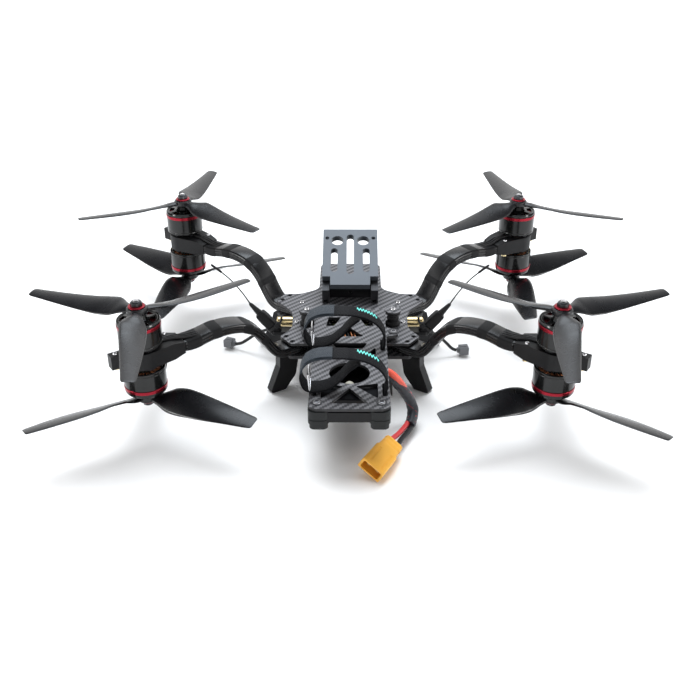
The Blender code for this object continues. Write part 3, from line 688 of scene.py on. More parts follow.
def make_finishes():
    for finish in (carbon, aluminium, copper, webbing, wrap, board):
        finish()
    # The sixth value of each moulded finish is the colour of its painted edge highlight; edge sets how
    # strongly it shows
    moulded("propeller", "propeller_black", (0.006, 0.0062, 0.0075), 0.27, 0.5, (0.02, 0.02, 0.022),
            edge=0.1, specular=0.45)
    moulded("arm", "arm_black", (0.006, 0.006, 0.0068), 0.26, 0.6, (0.03, 0.03, 0.034))
    moulded("tape", "arm_black", (0.006, 0.006, 0.007), 0.62, 0.35, 0.02, specular=0.25)
    moulded("printed", "printed_plastic", (0.007, 0.007, 0.008), 0.45, 0.3, 0.02, 0.5, specular=0.2)
    moulded("pod", "printed_plastic", (0.007, 0.008, 0.0085), 0.5, 0.4, (0.04, 0.045, 0.045), specular=0.25)
    moulded("gunmetal", "black_metal", (0.06, 0.06, 0.065), 0.3, 0.3, 0.3, metallic=0.9)
    moulded("bell", "motor_black", (0.004, 0.0045, 0.0045), 0.16, 0.4, 0.03, specular=0.4)
    moulded("black_metal", "black_metal", (0.010, 0.010, 0.012), 0.34, 0.3, (0.10, 0.10, 0.11), metallic=0.4)
    moulded("anodised_red", "motor_black", (0.31, 0.008, 0.022), 0.24, 0.3, (0.8, 0.16, 0.2), metallic=0.75)
    moulded("steel", "black_metal", (0.62, 0.62, 0.64), 0.22, 0.2, 0.9, metallic=1.0)
    moulded("magnet", "motor_black", (0.30, 0.30, 0.32), 0.3, 0.3, 0.5, metallic=0.9)
    moulded("lamination", "motor_black", (0.03, 0.05, 0.035), 0.4, 0.3, (0.2, 0.22, 0.2), 0.4)
    moulded("brass", "brass", (0.86, 0.68, 0.36), 0.2, 0.3, (1.0, 0.9, 0.6), metallic=1.0)
    moulded("rubber", "black_rubber", (0.010, 0.010, 0.011), 0.6, 0.4, 0.03, specular=0.3)
    moulded("grey_plug", "black_rubber", (0.13, 0.135, 0.145), 0.45, 0.4, (0.12, 0.12, 0.13))
    moulded("pale_knob", "printed_plastic", (0.34, 0.33, 0.27), 0.5, 0.5, (0.5, 0.5, 0.45))
    moulded("yellow", "plug_yellow", (0.93, 0.46, 0.055), 0.42, 0.4, (1.0, 0.62, 0.15))
    moulded("contact", "plug_yellow", (0.90, 0.62, 0.20), 0.2, 0.3, (1.0, 0.9, 0.6), metallic=1.0)
    moulded("red_wire", "lead_sleeve", (0.70, 0.025, 0.030), 0.40, 0.5, (0.9, 0.2, 0.2), coat=0.2)
    moulded("coral", "lead_sleeve", (0.90, 0.10, 0.055), 0.42, 0.8, (1.0, 0.4, 0.3), coat=0.2)
    moulded("black_wire", "lead_sleeve", (0.007, 0.007, 0.008), 0.45, 0.5, 0.03, specular=0.3)
    moulded("chip", "circuit_board", (0.012, 0.012, 0.014), 0.35, 0.3, 0.06)


# ---------------------------------------------------------------- pieces

def listed(made, finish, stands_for, body):
    """Gives a piece its finish, hangs it on its body, and hides the CAD part that it stands for."""
    made.data.materials.clear()
    made.data.materials.append(FINISHES[finish])
    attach(made, body)
    if stands_for:
        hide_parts(stands_for)
    return made


def place(name, mesh, finish, matrix=None, stands_for=None, body=AIRFRAME):
    """Named piece with a finish, riding on a body; the matrix is in millimetres.

    Its turn goes into the mesh, so that the object's own box stays tight.
    """
    made = linked(name, mesh)
    if matrix is not None:
        spot, turn, _ = matrix.decompose()
        mesh.transform(turn.to_matrix().to_4x4())
        made.location = spot * MM
    return listed(made, finish, stands_for, body)


def curve_piece(name, points, radius, finish, stands_for=None):
    """Round wire as one open spline with capped ends."""
    data = bpy.data.curves.new(name, "CURVE")
    data.dimensions = "3D"
    data.bevel_depth = radius * MM
    data.bevel_resolution = 4
    data.use_fill_caps = True
    spline = data.splines.new("POLY")
    spline.points.add(len(points) - 1)
    for spot, point in zip(spline.points, points):
        spot.co = (*(point * MM), 1)
    spline.use_smooth = True
    return listed(linked(name, data), finish, stands_for, AIRFRAME)


# ---------------------------------------------------------------- camera and light

CAMERA_SPOT = (2.796, -770.15, 461.79)
CAMERA_PITCH = 29.92
CAMERA_YAW = 0.21
CAMERA_LENS = 48.96
FLOOR_HALF = 6000


def make_camera():
    data = bpy.data.cameras.new("camera")
    data.lens = CAMERA_LENS
    data.clip_start = 0.01
    made = linked("camera", data)
    made.location = Vector(CAMERA_SPOT) * MM
    made.rotation_euler = (math.radians(90 - CAMERA_PITCH), 0, math.radians(CAMERA_YAW))
    bpy.context.scene.camera = made


def make_floor():
    bm = bmesh.new()
    bmesh.ops.create_grid(bm, x_segments=4, y_segments=4, size=FLOOR_HALF)
    floor = linked("floor", to_mesh(bm))
    made = principled("floor", "floor", 0.88, 0.9, specular=0.2)
    painted(made, speckle(object_spot(made)[0], 40.0).mix(0.87, 0.89))
    floor.data.materials.append(made)


def make_light(name, kind, spot, target, energy, **settings):
    """Light at a spot in metres that shines at a target."""
    data = bpy.data.lights.new(name, kind)
    data.energy = energy
    for key, value in settings.items():
        setattr(data, key, value)
    made = linked(name, data)
    made.location = spot
    made.rotation_euler = (Vector(target) - Vector(spot)).to_track_quat("-Z", "Y").to_euler()
    return made


def make_lights():
    sky = make_light("sky", "SUN", (0, 0, 0), (0.05, -0.55, -1.0), 3.15, angle=math.radians(60))
    sky.visible_glossy = False
    make_light("top_box", "AREA", (0, 0.45, 1.15), (0, 0, 0.05), 13, shape="DISK", size=1.1,
               color=(0.86, 0.93, 1.0))
    for name, side in SIDES.items():
        make_light(f"{name}_strip", "AREA", (side * 1.3, -0.55, 0.55), (0, 0, 0.08), 5, shape="DISK",
                   size=0.35)


def make_world():
    """White behind everything; its reflection is bright at the horizon and dark overhead."""
    world = bpy.data.worlds.new("studio")
    world.use_nodes = True
    way = node(world, "ShaderNodeTexCoord", output="Generated")
    height = node(world, "ShaderNodeSeparateXYZ", {0: way}, "Z")
    fade = {"Value": height, "From Min": 0.40, "From Max": 0.75, "To Min": 1.3, "To Max": 0.1}
    glossy = node(world, "ShaderNodeLightPath", output="Is Glossy Ray")
    mirrored_light = {"Value": glossy, "To Min": 0.35, "To Max": node(world, "ShaderNodeMapRange", fade)}
    seen = node(world, "ShaderNodeLightPath", output="Is Camera Ray")
    unseen = node(world, "ShaderNodeMapRange", mirrored_light)
    level = node(world, "ShaderNodeMapRange", {"Value": seen, "To Min": unseen, "To Max": 1.0})
    back = world.node_tree.nodes["Background"]
    back.inputs["Color"].default_value = (1, 1, 1, 1)
    world.node_tree.links.new(level.socket, back.inputs["Strength"])
    bpy.context.scene.world = world
    bpy.context.scene.view_settings.view_transform = "Standard"


# ---------------------------------------------------------------- cords

def plug_matrix():
    wide = (PLUG_WIDE - PLUG_AXIS * PLUG_WIDE.dot(PLUG_AXIS)).normalized()
    turn = Matrix((wide, PLUG_AXIS.cross(wide), PLUG_AXIS)).transposed().to_4x4()
    return Matrix.Translation(PLUG_SPOT) @ turn


def metres(points):
    return travelled(points)[-1] * MM


# Side of the lead on which the red wire lies, at shares of its length
RED_SIDES = ((0.0, (-1.0, 0.0, 0.3)), (0.30, (0.2, -0.5, 1.0)), (0.52, (0.95, -0.1, 0.45)),
    (0.66, (0.1, 0.6, 1.0)), (0.80, (-0.8, 0.35, 0.55)), (1.0, (-0.759, 0.4, 0.513)))


def red_sides(line):
    """Cross direction from the lead's middle to its red wire, at each point of the line."""
    spots = travelled(line)
    ahead = headings(line)
    base = carried(line, (-1, 0, 0))
    keys = []
    last = 0.0
    for share, side in RED_SIDES:
        index = min(range(len(line)), key=lambda i: abs(spots[i] - share * spots[-1]))
        other = ahead[index].cross(base[index])
        side = Vector(side)
        angle = math.atan2(side.dot(other), side.dot(base[index]))
        angle += math.tau * round((last - angle) / math.tau)
        keys.append((spots[index], angle))
        last = angle
    made = []
    for index, spot in enumerate(spots):
        angle = keys[-1][1]
        for (low, first), (high, second) in zip(keys, keys[1:]):
            if low <= spot <= high:
                share = (spot - low) / (high - low)
                angle = first + (second - first) * share * share * (3 - 2 * share)
                break
        made.append(base[index] * math.cos(angle) + ahead[index].cross(base[index]) * math.sin(angle))
    return made


def wire_offset(share):
    """Distance of each wire from the lead's middle; they spread apart at the plug."""
    return WIRE_RADIUS + 0.1 + 1.2 * max(0.0, (share - 0.9) / 0.1) ** 1.5


def make_power_lead():
    line = even(smooth_line(POWER_ROUTE, 24), 1.5)
    sides = red_sides(line)
    spots = travelled(line)
    whole = spots[-1]
    offsets = [side * wire_offset(spot / whole) for side, spot in zip(sides, spots)]
    red = [point + offset for point, offset in zip(line, offsets)]
    black = [point - offset for point, offset in zip(line, offsets)]

    def tucked(spot):
        """1 where the red wire lies outside the wrap, 0 where the wrap holds both."""
        return 1.0 - min(1.0, max(0.0, (spot - 0.36 * whole) / (0.14 * whole)))

    def ripple(spot, turn):
        around = Vector((math.cos(turn), math.sin(turn), 0)) * 1.6
        fold = noise.noise(around + Vector((0, 0, spot * 0.28)))
        return 0.45 * fold + 0.12 * math.sin(spot * 0.95 + turn)

    wrapped = [(point, side, spot) for point, side, spot in zip(line, sides, spots)
               if 0.06 * whole < spot < 0.79 * whole]
    wrap_line = [point - side * 1.5 * tucked(spot) for point, side, spot in wrapped]
    radii = [4.65 - 0.9 * tucked(spot) for _, _, spot in wrapped]
    radii[-1] -= 0.5
    sleeve = place("power_wrap", pipe(wrap_line, radii, 28, ripple=ripple), "wrap")
    shrink_line = [point for point, spot in zip(red, spots) if 0.33 * whole < spot < 0.53 * whole]
    size = len(shrink_line) - 1
    radii = [3.1 * (1 - 0.4 * max(0.0, i / size - 0.5) / 0.5) for i in range(size + 1)]
    shrink = place("red_heat_shrink", pipe(shrink_line, radii, 18), "coral")
    shell = make_power_plug()
    for name, wire, stands, pieces in (("red", red, "power_lead", [shell, sleeve, shrink]),
                                       ("black", black, None, [shell, sleeve])):
        piece = curve_piece(f"{name}_power_wire", wire, WIRE_RADIUS, f"{name}_wire", stands)
        wire[0] * MM
        metres(wire)


def make_power_plug():
    """High-current plug: ribbed rear, stepped shell and a socket with two bullet contacts."""
    sizes = ((-20, 15.3, 8.3), (-19.4, 16.6, 9.2), (-17.6, 17.2, 9.5), (-17.0, 16.6, 9.0),
        (-15.4, 16.6, 9.0), (-14.8, 17.6, 9.6), (-13.0, 17.6, 9.6), (-12.4, 16.8, 9.1), (-10.8, 16.8, 9.1),
        (-10.2, 17.9, 9.8), (-6.2, 18.2, 10.0), (-4.6, 20.6, 10.7), (19.4, 21.3, 11.0), (20, 20.7, 10.4))
    shell = loft([at_height(panel(both(wide / 2), both(deep / 2), 0.8, 2.6, 3), along)
                  for along, wide, deep in sizes])
    well = turned([(0, -21), (2.7, -21), (2.7, -17.5), (0, -17.5)], sides=24)
    groove = box(both(1.1), both(0.6), (-2, 17))
    cuts = [box(both(8.6), both(3.9), (6, 21), 1.6)]
    for side in (-1, 1):
        cuts.append(moved(well.copy(), shifted(side * 3.5, 0, 0)))
        cuts.append(moved(groove.copy(), shifted(side * 5.6, 5.6, 0)))
    end = plug_matrix()
    made = place("power_plug_shell", eased(carved(shell, cuts), 0.25), "yellow", end, "power_plug")
    pin = turned([(0, 6), (2.1, 6), (2.1, 15.2), (1.5, 16.2), (0, 16.2)], sides=24)
    pins = gathered([(pin, shifted(side * 4.2, 0, 0.05)) for side in (-1, 1)])
    place("power_plug_contacts", pins, "contact", end)
    return made


def make_pigtails():
    for name, route in PIGTAIL_ROUTES.items():
        line = even(smooth_line(route, 24), 1.5)
        ahead = Vector(route[-1]) - Vector(route[-2])
        ahead.z = 0
        ahead.normalize()
        start = Vector(route[-1]) + Vector((ahead.x, ahead.y, -0.1)) * 0.9
        neck = turned([(0, 0), (2.4, 0), (2.6, 0.4), (3.0, 2.0), (3.0, 3.0), (0, 3.0)], sides=36)
        body = joined(neck, [box(both(4.4), both(3.9), (2.2, 10.8), 0.9),
                             box(both(1.6), (3.0, 4.6), (3.2, 9.0), 0.3)])
        body = carved(body, [box(both(3.2), both(2.7), (8.4, 12))])
        plug = place(f"pigtail_connector_{name}", eased(body, 0.25), "grey_plug", aimed(start, ahead),
                     f"pigtail_plug_{name}")
        wire = curve_piece(f"pigtail_cable_{name}", line, PIGTAIL_RADIUS, "black_wire", f"pigtail_{name}")
        line[0] * MM
        metres(line)


# ---------------------------------------------------------------- rotors

def station_matrix(corner, level):
    """Frame of a motor: Z runs outward from the mount's mid-plane along the motor's axis."""
    side, front = CORNERS[corner]
    spot = shifted(side * MOTOR_X, front * MOTOR_Y, MOTOR_MID_Z)
    return spot if level == "upper" else spot @ rotated(math.pi, "X")


def blade_section(pitch, radius, lead, trail, thick, lean, steps=11):
    """Cambered section of a counter-clockwise blade, its leading edge raised."""
    twist = math.atan2(pitch, math.tau * max(radius, 34.0)) * min(1.0, radius / 22.0)
    points = []
    for step in range(2 * steps):
        turn = math.pi * step / steps
        along = 0.5 * math.cos(turn)
        camber = 0.36 * (1 - (2 * along) ** 2)
        half = 0.5 * math.copysign(abs(math.sin(turn)) ** 0.85, math.sin(turn))
        half *= 0.82 + 0.36 * along
        across = (along + 0.5) * (lead + trail) - trail
        rise = (camber + half - 0.3) * thick
        points.append(Vector((radius, across * math.cos(twist) - rise * math.sin(twist),
            across * math.sin(twist) + rise * math.cos(twist) - lean)))
    return points


def propeller_mesh(counter, level):
    """Three blades with squared, rounded tips, joined to a bored and chamfered hub."""
    pitch, given = BLADES[level]
    side = 1 if level == "upper" else -1
    stations = smooth_fan(given[:-4], 6) + list(given[-4:])
    half = (PROP_HIGH - PROP_LOW) / 2
    bore = SHAFT_RADIUS + 0.4
    hub = turned([(bore, -half), (HUB_RADIUS - 0.5, -half), (HUB_RADIUS, 0.5 - half),
        (HUB_RADIUS, half - 1.3), (HUB_RADIUS - 0.9, half - 0.2), (HUB_RADIUS - 1.5, half), (bore, half)],
        ring=True, sides=40)
    blades = []
    for index in range(3):
        rings = [blade_section(pitch, *station[:4], side * station[4]) for station in stations]
        if not counter:
            rings = [[Vector((p.x, -p.y, p.z)) for p in ring] for ring in rings]
        turn = rotated(index * math.tau / 3)
        blades.append(moved(loft(rings), turn))
    return eased(joined(hub, blades), 0.3, 2, 50)


def bell_mesh():
    """Motor can with a grooved wall, and a spoked cap that rises to the propeller seat."""
    wall = BELL_RADIUS
    groove = wall - 0.25
    profile = [(BELL_INNER, BELL_FOOT), (wall - 0.4, BELL_FOOT), (wall, BELL_FOOT + 0.4), (wall, 12.2),
        (groove, 12.45), (groove, 12.9), (wall, 13.15), (wall, 25.4), (groove, 25.7), (groove, 29.2),
        (wall, 29.5), (wall, 31.0), (wall - 0.5, BELL_TOP), (wall - 1.7, BELL_TOP), (wall - 2.3, 31.3),
        (8.6, 31.9), (7.0, 33.4), (6.2, 36.0), (5.6, PROP_LOW - GAP), (SHAFT_RADIUS + 0.1, PROP_LOW - GAP),
        (SHAFT_RADIUS + 0.1, 29.3), (BELL_INNER, 29.3)]
    can = turned(profile, ring=True, sides=72, angle=30)
    windows = []
    spokes = 6
    for index in range(spokes):
        middle = math.tau * index / spokes
        inner = [(9.2, middle - 0.30), (9.2, middle), (9.2, middle + 0.30)]
        outer = [(13.9, middle + turn) for turn in (0.37, 0.19, 0.0, -0.19, -0.37)]
        outline = [polar(r, t) for r, t in inner + outer]
        windows.append(slab(outline, [], 27.0, 34.0))
    return eased(carved(can, windows), 0.2, 2, 40)


def bell_details():
    """Red ring with its inner flange, magnets, washer, nut and shaft, as separate meshes."""
    inner, middle, outer = BELL_RADIUS - 0.3, BELL_RADIUS + 0.1, BELL_RADIUS + 0.35
    ring = turned([(inner, 26.0), (middle, 26.0), (outer, 26.3), (outer, 28.7), (middle, 29.0),
        (inner, 29.0)], ring=True, sides=72)
    flange = turned([(9.5, 28.2), (15.3, 28.2), (15.3, 29.1), (9.5, 28.7)], ring=True)
    half = 0.40 * math.tau / MAGNETS
    sweep = [half * share for share in (-1, -0.5, 0, 0.5, 1)]
    outline = [polar(15.3, t) for t in sweep] + [polar(14.65, t) for t in reversed(sweep)]
    magnet = slab(outline, [], 11.0, 26.5)
    magnets = [(magnet, rotated(index * math.tau / MAGNETS)) for index in range(MAGNETS)]
    low = PROP_HIGH + GAP
    washer = turned([(2.6, low), (6.3, low), (6.7, low + 0.3), (6.7, low + 0.7), (6.1, low + 1.2),
                     (2.6, low + 1.2)], ring=True)
    nut = turned([(2.3, low + 1.3), (4.5, low + 1.3), (4.7, low + 1.5), (4.7, low + 3.6), (4.2, low + 4.1),
                  (3.2, low + 4.9), (2.3, low + 4.9)], ring=True, hexagon=(4.4, 4.8, 4.9))
    shaft = [(0, 12.0), (SHAFT_RADIUS - 0.1, 12.0), (SHAFT_RADIUS - 0.1, low + 1.0)]
    for height in [low + 1.2 + thread * 0.5 for thread in range(8)]:
        shaft += [(2.35, height), (2.1, height + 0.25)]
    shaft += [(2.2, NUT_TOP - 0.4), (1.8, NUT_TOP), (1.0, NUT_TOP), (0.8, NUT_TOP - 0.5), (0, NUT_TOP - 0.5)]
    return {
        "ring": (gathered([eased(ring, 0.1), flange]), "anodised_red"),
        "magnets": (gathered(magnets), "magnet"),
        "washer": (eased(washer, 0.1), "anodised_red"),
        "nut": (eased(nut, 0.15), "gunmetal"),
        "shaft": (turned(shaft, sides=32, angle=30), "steel"),
    }


def stator_details():
    """Four-armed base with a bearing tube, toothed core, and a copper coil on each tooth."""
    low = MOUNT_HALF_THICK + GAP
    reach = ((7.2, 0.62), (9.0, 0.40), (12.6, 0.30), (13.5, 0.15))
    reach = [(radius, -turn) for radius, turn in reach] + list(reversed(reach))
    outline = [polar(radius, (arm + 0.5) * math.pi / 2 + turn) for arm in range(4) for radius, turn in reach]
    tube = turned([(3.2, low + 0.2), (6.4, low + 0.2), (6.4, 12.0), (5.2, 13.0), (5.2, 27.0), (3.2, 27.0)],
                  ring=True)
    base = eased(joined(slab(outline, [circle(0, 0, 3.3, 24)], low, 9.5), [tube]), 0.3)
    half = 0.40 * math.tau / TEETH
    tip = [polar(14.4, share * half) for share in (-1, -0.5, 0, 0.5, 1)]
    side = [Vector((5.4, 0.9)), Vector((12.6, 0.9)), Vector((13.4, tip[-1].y))]
    tooth = slab([Vector((p.x, -p.y)) for p in side] + tip + side[::-1], [], 13.6, 25.4)
    rings = []
    for radius, wide, tall in ((6.6, 1.2, 12.6), (7.2, 1.7, 13.4), (9.6, 2.3, 14.0),
                               (12.0, 2.9, 14.2), (12.9, 2.7, 13.8), (13.1, 2.2, 13.2)):
        section = panel(both(wide), both(tall / 2), wide * 0.9, steps=3)
        rings.append([Vector((radius, p.x, 19.8 + p.y)) for p in section])
    turns = [rotated(math.tau * index / TEETH) for index in range(TEETH)]
    screw = screw_mesh(1.9, 1.1, 0.9)
    bolts = [(screw, rotated((arm + 0.5) * math.pi / 2) @ shifted(10.6, 0, 9.55)) for arm in range(4)]
    coil = loft(rings, 60)
    return {
        "base": (base, "black_metal"),
        "core": (gathered([(tooth, turn) for turn in turns]), "lamination"),
        "windings": (gathered([(coil, turn) for turn in turns]), "copper"),
        "bolts": (gathered(bolts), "steel"),
    }


def make_rotors():
    bell = bell_mesh()
    rotor_pieces = bell_details()
    stator_pieces = stator_details()
    props = {(counter, level): propeller_mesh(counter, level)
             for counter in (True, False) for level in BLADES}
    hub_mid = (PROP_LOW + PROP_HIGH) / 2
    for (corner, level), (angle, counter) in PROPELLERS.items():
        tag = f"{corner}_{level}"
        body = f"rotor_{tag}"
        axis = station_matrix(corner, level)
        place(f"bell_{tag}", bell.copy(), "bell", axis, f"motor_bell_{tag}", body=body)
        for name, (mesh, finish) in rotor_pieces.items():
            place(f"rotor_{name}_{tag}", mesh.copy(), finish, axis, body=body)
        for name, (mesh, finish) in stator_pieces.items():
            stands = f"motor_stator_{tag}" if name == "core" else None
            place(f"stator_{name}_{tag}", mesh.copy(), finish, axis, stands)
        side, front = CORNERS[corner]
        height = MOTOR_MID_Z + (hub_mid if level == "upper" else -hub_mid)
        spot = shifted(side * MOTOR_X, front * MOTOR_Y, height)
        turn = rotated(math.radians(angle))
        place(f"blades_{tag}", props[counter, level].copy(), "propeller", spot @ turn, f"propeller_{tag}",
            body=body)


# ---------------------------------------------------------------- fasteners

def screw_mesh(radius, height, socket=1.0):
    """Button head with a hexagonal socket, standing on z = 0."""
    deep = height * 0.35
    profile = [(0, deep), (socket, deep), (socket, height * 0.93), (socket * 1.12, height),
        (radius * 0.72, height * 0.97), (radius * 0.93, height * 0.6), (radius, 0.12), (radius, 0), (0, 0)]
    return turned(profile, sides=36, angle=40, hexagon=(socket * 0.9, socket * 1.2, socket * 1.1))


# ---------------------------------------------------------------- arms and mounts

def arm_matrix(corner):
    """Frame of an arm: origin on the motor axis, +X inboard along the arm, z = 0 on the ground."""
    side, front = CORNERS[corner]
    angle = ARM_ANGLES[front]
    heading = math.atan2(-front * math.sin(angle), -side * math.cos(angle))
    return shifted(side * MOTOR_X, front * MOTOR_Y, 0) @ rotated(heading)


def swept(line, outlines):
    """Skin over outlines of (across, up) points, kept square to a line in X and Z."""
    rings = []
    last = len(line) - 1
    for index, (point, ahead, outline) in enumerate(zip(line, headings(line), outlines)):
        if index in (0, last):
            ahead = Vector((1, 0, 0)) if index == last or line[0].x == ARM_LINE[0][0] else ahead
        rise = Vector((-ahead.z, 0, ahead.x))
        rings.append([point + Vector((0, p.x, 0)) + rise * p.y for p in outline])
    return loft(rings, 50)


def arm_line():
    return smooth_line([(along, 0, height) for along, height in ARM_LINE], 7)


def arm_mesh():
    """Gull-wing bar with softened top edges and two grooves along each side, thin in the mount."""
    wide, deep = ARM_WIDTH / 2, ARM_THICK / 2
    groove = wide - 0.5
    side = [(wide, -deep, 1.2), (wide, -1.9, 0.3), (groove, -1.5, 0.15), (groove, -0.9, 0.15),
        (wide, -0.5, 0.3), (wide, 0.7, 0.3), (groove, 1.1, 0.15), (groove, 1.5, 0.15), (wide, 1.9, 0.3),
        (wide, deep, 2.0)]
    full = rounded(mirrored(side), 3)
    thin = [Vector((p.x * TENON[0] / ARM_WIDTH, p.y * TENON[1] / ARM_THICK)) for p in full]
    line = arm_line()
    return swept(line, [thin if point.x <= TENON_END else full for point in line])


WRAPS = ((34.4, 50.0), (57.0, 68.0), (86.0, 95.0), (103.5, 108.5))


def wrap_mesh():
    """Tape bands lying flat round the arm: two laps each, the upper lap a little shorter."""
    parts = []
    line = arm_line()
    for low, high in WRAPS:
        for proud, short in ((0.12, 0.0), (0.24, 1.4)):
            stretch = [p for p in line if low + short <= p.x <= high - short * 0.4]
            if len(stretch) < 3:
                continue
            outlines = []
            for index in range(len(stretch)):
                edge = 0.1 if index in (0, len(stretch) - 1) else 0.0
                grown = proud - edge
                outlines.append(panel(both(ARM_WIDTH / 2 + grown), both(ARM_THICK / 2 + grown), 1.4, 2.2, 5))
            parts.append(swept(stretch, outlines))
    return gathered(parts)


def mount_mesh():
    """Printed block that narrows to the arm: a seat for each motor, a raised lug, a socket."""
    reach = math.hypot(MOUNT_INNER, MOUNT_HALF_WIDTH)
    flat = math.atan2(MOUNT_HALF_WIDTH, MOUNT_INNER) + math.acos(MOUNT_RADIUS / reach)
    steps = 22
    side = [polar(MOUNT_RADIUS, math.pi - step * (math.pi - flat) / steps) for step in range(steps + 1)]
    outline = [Vector((MOUNT_INNER, -MOUNT_HALF_WIDTH)), Vector((MOUNT_INNER, MOUNT_HALF_WIDTH))]
    outline += side[::-1] + [Vector((p.x, -p.y)) for p in side[1:]]
    low, high = MOTOR_MID_Z - MOUNT_HALF_THICK, MOTOR_MID_Z + MOUNT_HALF_THICK
    lug = box((-MOUNT_OUTER, -13), both(LUG_HALF), (MOTOR_MID_Z - 5, MOTOR_MID_Z + 6.6))
    block = joined(slab(outline, [], low, high), [lug])
    wide, deep = TENON[0] / 2 + GAP, TENON[1] / 2 + GAP
    cuts = [box((ARM_LINE[0][0] - 1, MOUNT_INNER + 3), both(wide), (MOTOR_MID_Z - deep, MOTOR_MID_Z + deep))]
    for level, rise in ((low, -1), (high, 1)):
        bottom, top = level - 0.4, level + 0.4
        cuts.append(turned([(0, bottom), (13.9, bottom), (13.9, top), (0, top)], sides=64))
        cuts.append(box((9.0, 45.0), both(4.2), (level - 0.7, level + 0.7)))
        slope = [(23.0, level), (36.0, level - rise * 2.9), (36.0, level + rise), (23.0, level + rise)]
        cuts.append(upright(slab(slope, [], -12, 12)))
    for x, y in MOUNT_SCREWS:
        hole = turned([(0, low - 1), (1.6, low - 1), (1.6, high + 1), (0, high + 1)], sides=20)
        cuts.append(moved(hole, shifted(x, y, 0)))
    return eased(carved(block, cuts), 0.7, 3)


def mount_fasteners():
    """Silver screws on the mount's top, brass inserts underneath."""
    screw = screw_mesh(1.9, 1.3, 0.9)
    insert = turned([(0, 0.4), (1.2, 0.4), (1.2, 1.6), (2.0, 1.8), (2.5, 1.5), (2.5, 0), (0, 0)], sides=30)
    screws, inserts = [], []
    for (x, y), top, foot in zip(MOUNT_SCREWS, (6.6, MOUNT_HALF_THICK), (5.0, MOUNT_HALF_THICK)):
        screws.append((screw, shifted(x, y, MOTOR_MID_Z + top)))
        inserts.append((insert, shifted(x, y, MOTOR_MID_Z - foot) @ rotated(math.pi, "X")))
    return gathered(screws), gathered(inserts)


def motor_leads():
    """Three wires from each motor's base, fanned over the mount and drawn under the tape."""
    upper = ((8.5, 90.4), (13, 89.0), (20, 88.6), (27, 88.2), (33, 86.8), (38, 85.9), (48, 85.4))
    lower = ((8.5, 71.6), (13, 73.0), (20, 73.4), (27, 73.8), (33, 75.2), (38, 76.2), (48, 76.6))
    parts = []
    for route in (upper, lower):
        for lane in (-1.0, 0.0, 1.0):
            points = []
            for index, (along, height) in enumerate(route):
                apart = 2.2 + 0.9 * max(0.0, min(1.0, (along - 20) / 18))
                points.append((along, lane * apart + 0.3 * math.sin(index * 1.9 + lane), height))
            parts.append(pipe(smooth_line(points, 6), 1.0, 10))
    return gathered(parts)


def make_arms():
    screws, inserts = mount_fasteners()
    made = {
        "arm_bar": (arm_mesh(), "arm", "arm"),
        "arm_tape": (wrap_mesh(), "tape", None),
        "mount_block": (mount_mesh(), "printed", "motor_mount"),
        "mount_screws": (screws, "steel", None),
        "mount_inserts": (inserts, "brass", None),
        "motor_leads": (motor_leads(), "black_wire", None),
    }
    for corner in CORNERS:
        for name, (mesh, finish, stands_for) in made.items():
            stands = f"{stands_for}_{corner}" if stands_for else None
            place(f"{name}_{corner}", mesh.copy(), finish, arm_matrix(corner), stands)


# ---------------------------------------------------------------- body

def body_corners():
    """Right-hand outline of both plates behind the nose: horns at the arms, a narrow waist."""
    return [(47, 47, 8), (62.5, 46, 2), (69.5, 32, 2), (53, 9, 28), (51.5, -22, 22), (61.5, -37, 2.5),
        (52, -51, 3), (45, BODY_REAR, 2)]


def horn_spots():
    """Places of the arm bolts: two on each horn, across the arm."""
    spots = []
    for side, front in CORNERS.values():
        angle = ARM_ANGLES[front]
        along = 129.4 if front > 0 else 133.7
        for across in (-5.4, 5.4):
            x = MOTOR_X - along * math.cos(angle) + across * math.sin(angle)
            y = MOTOR_Y - along * math.sin(angle) - across * math.cos(angle)
            spots.append((side * x, front * y))
    return spots


def make_plates():
    nose = [(NOSE_HALF, NOSE_FRONT, 8), (NOSE_HALF, 57, 12)]
    bolts = [circle(x, y, 2.0, 24) for x, y in horn_spots()]
    holes = [circle(side * x, y, 1.6, 20) for side in (-1, 1) for x, y in ((22, 106), (22, 74), (12, 94))]
    holes.append(panel(both(BAY_HALF), BAY_Y, 2, steps=7))
    top = slab(rounded(mirrored(nose + body_corners())), bolts + holes, *PLATE_TOP)
    place("top_plate_cloth", eased(top, 0.25), "carbon", stands_for="top_plate")
    front = [(NOSE_HALF, LOWER_FRONT, 6)]
    vents = [panel(both(12), (-20, 24), 3, steps=7),
             rounded([(16, 34, 3), (12, 52, 3), (-12, 52, 3), (-16, 34, 3)])]
    bottom = slab(rounded(mirrored(front + body_corners())), bolts + vents, *PLATE_BOTTOM)
    place("bottom_plate_cloth", eased(bottom, 0.25), "carbon", stands_for="bottom_plate")


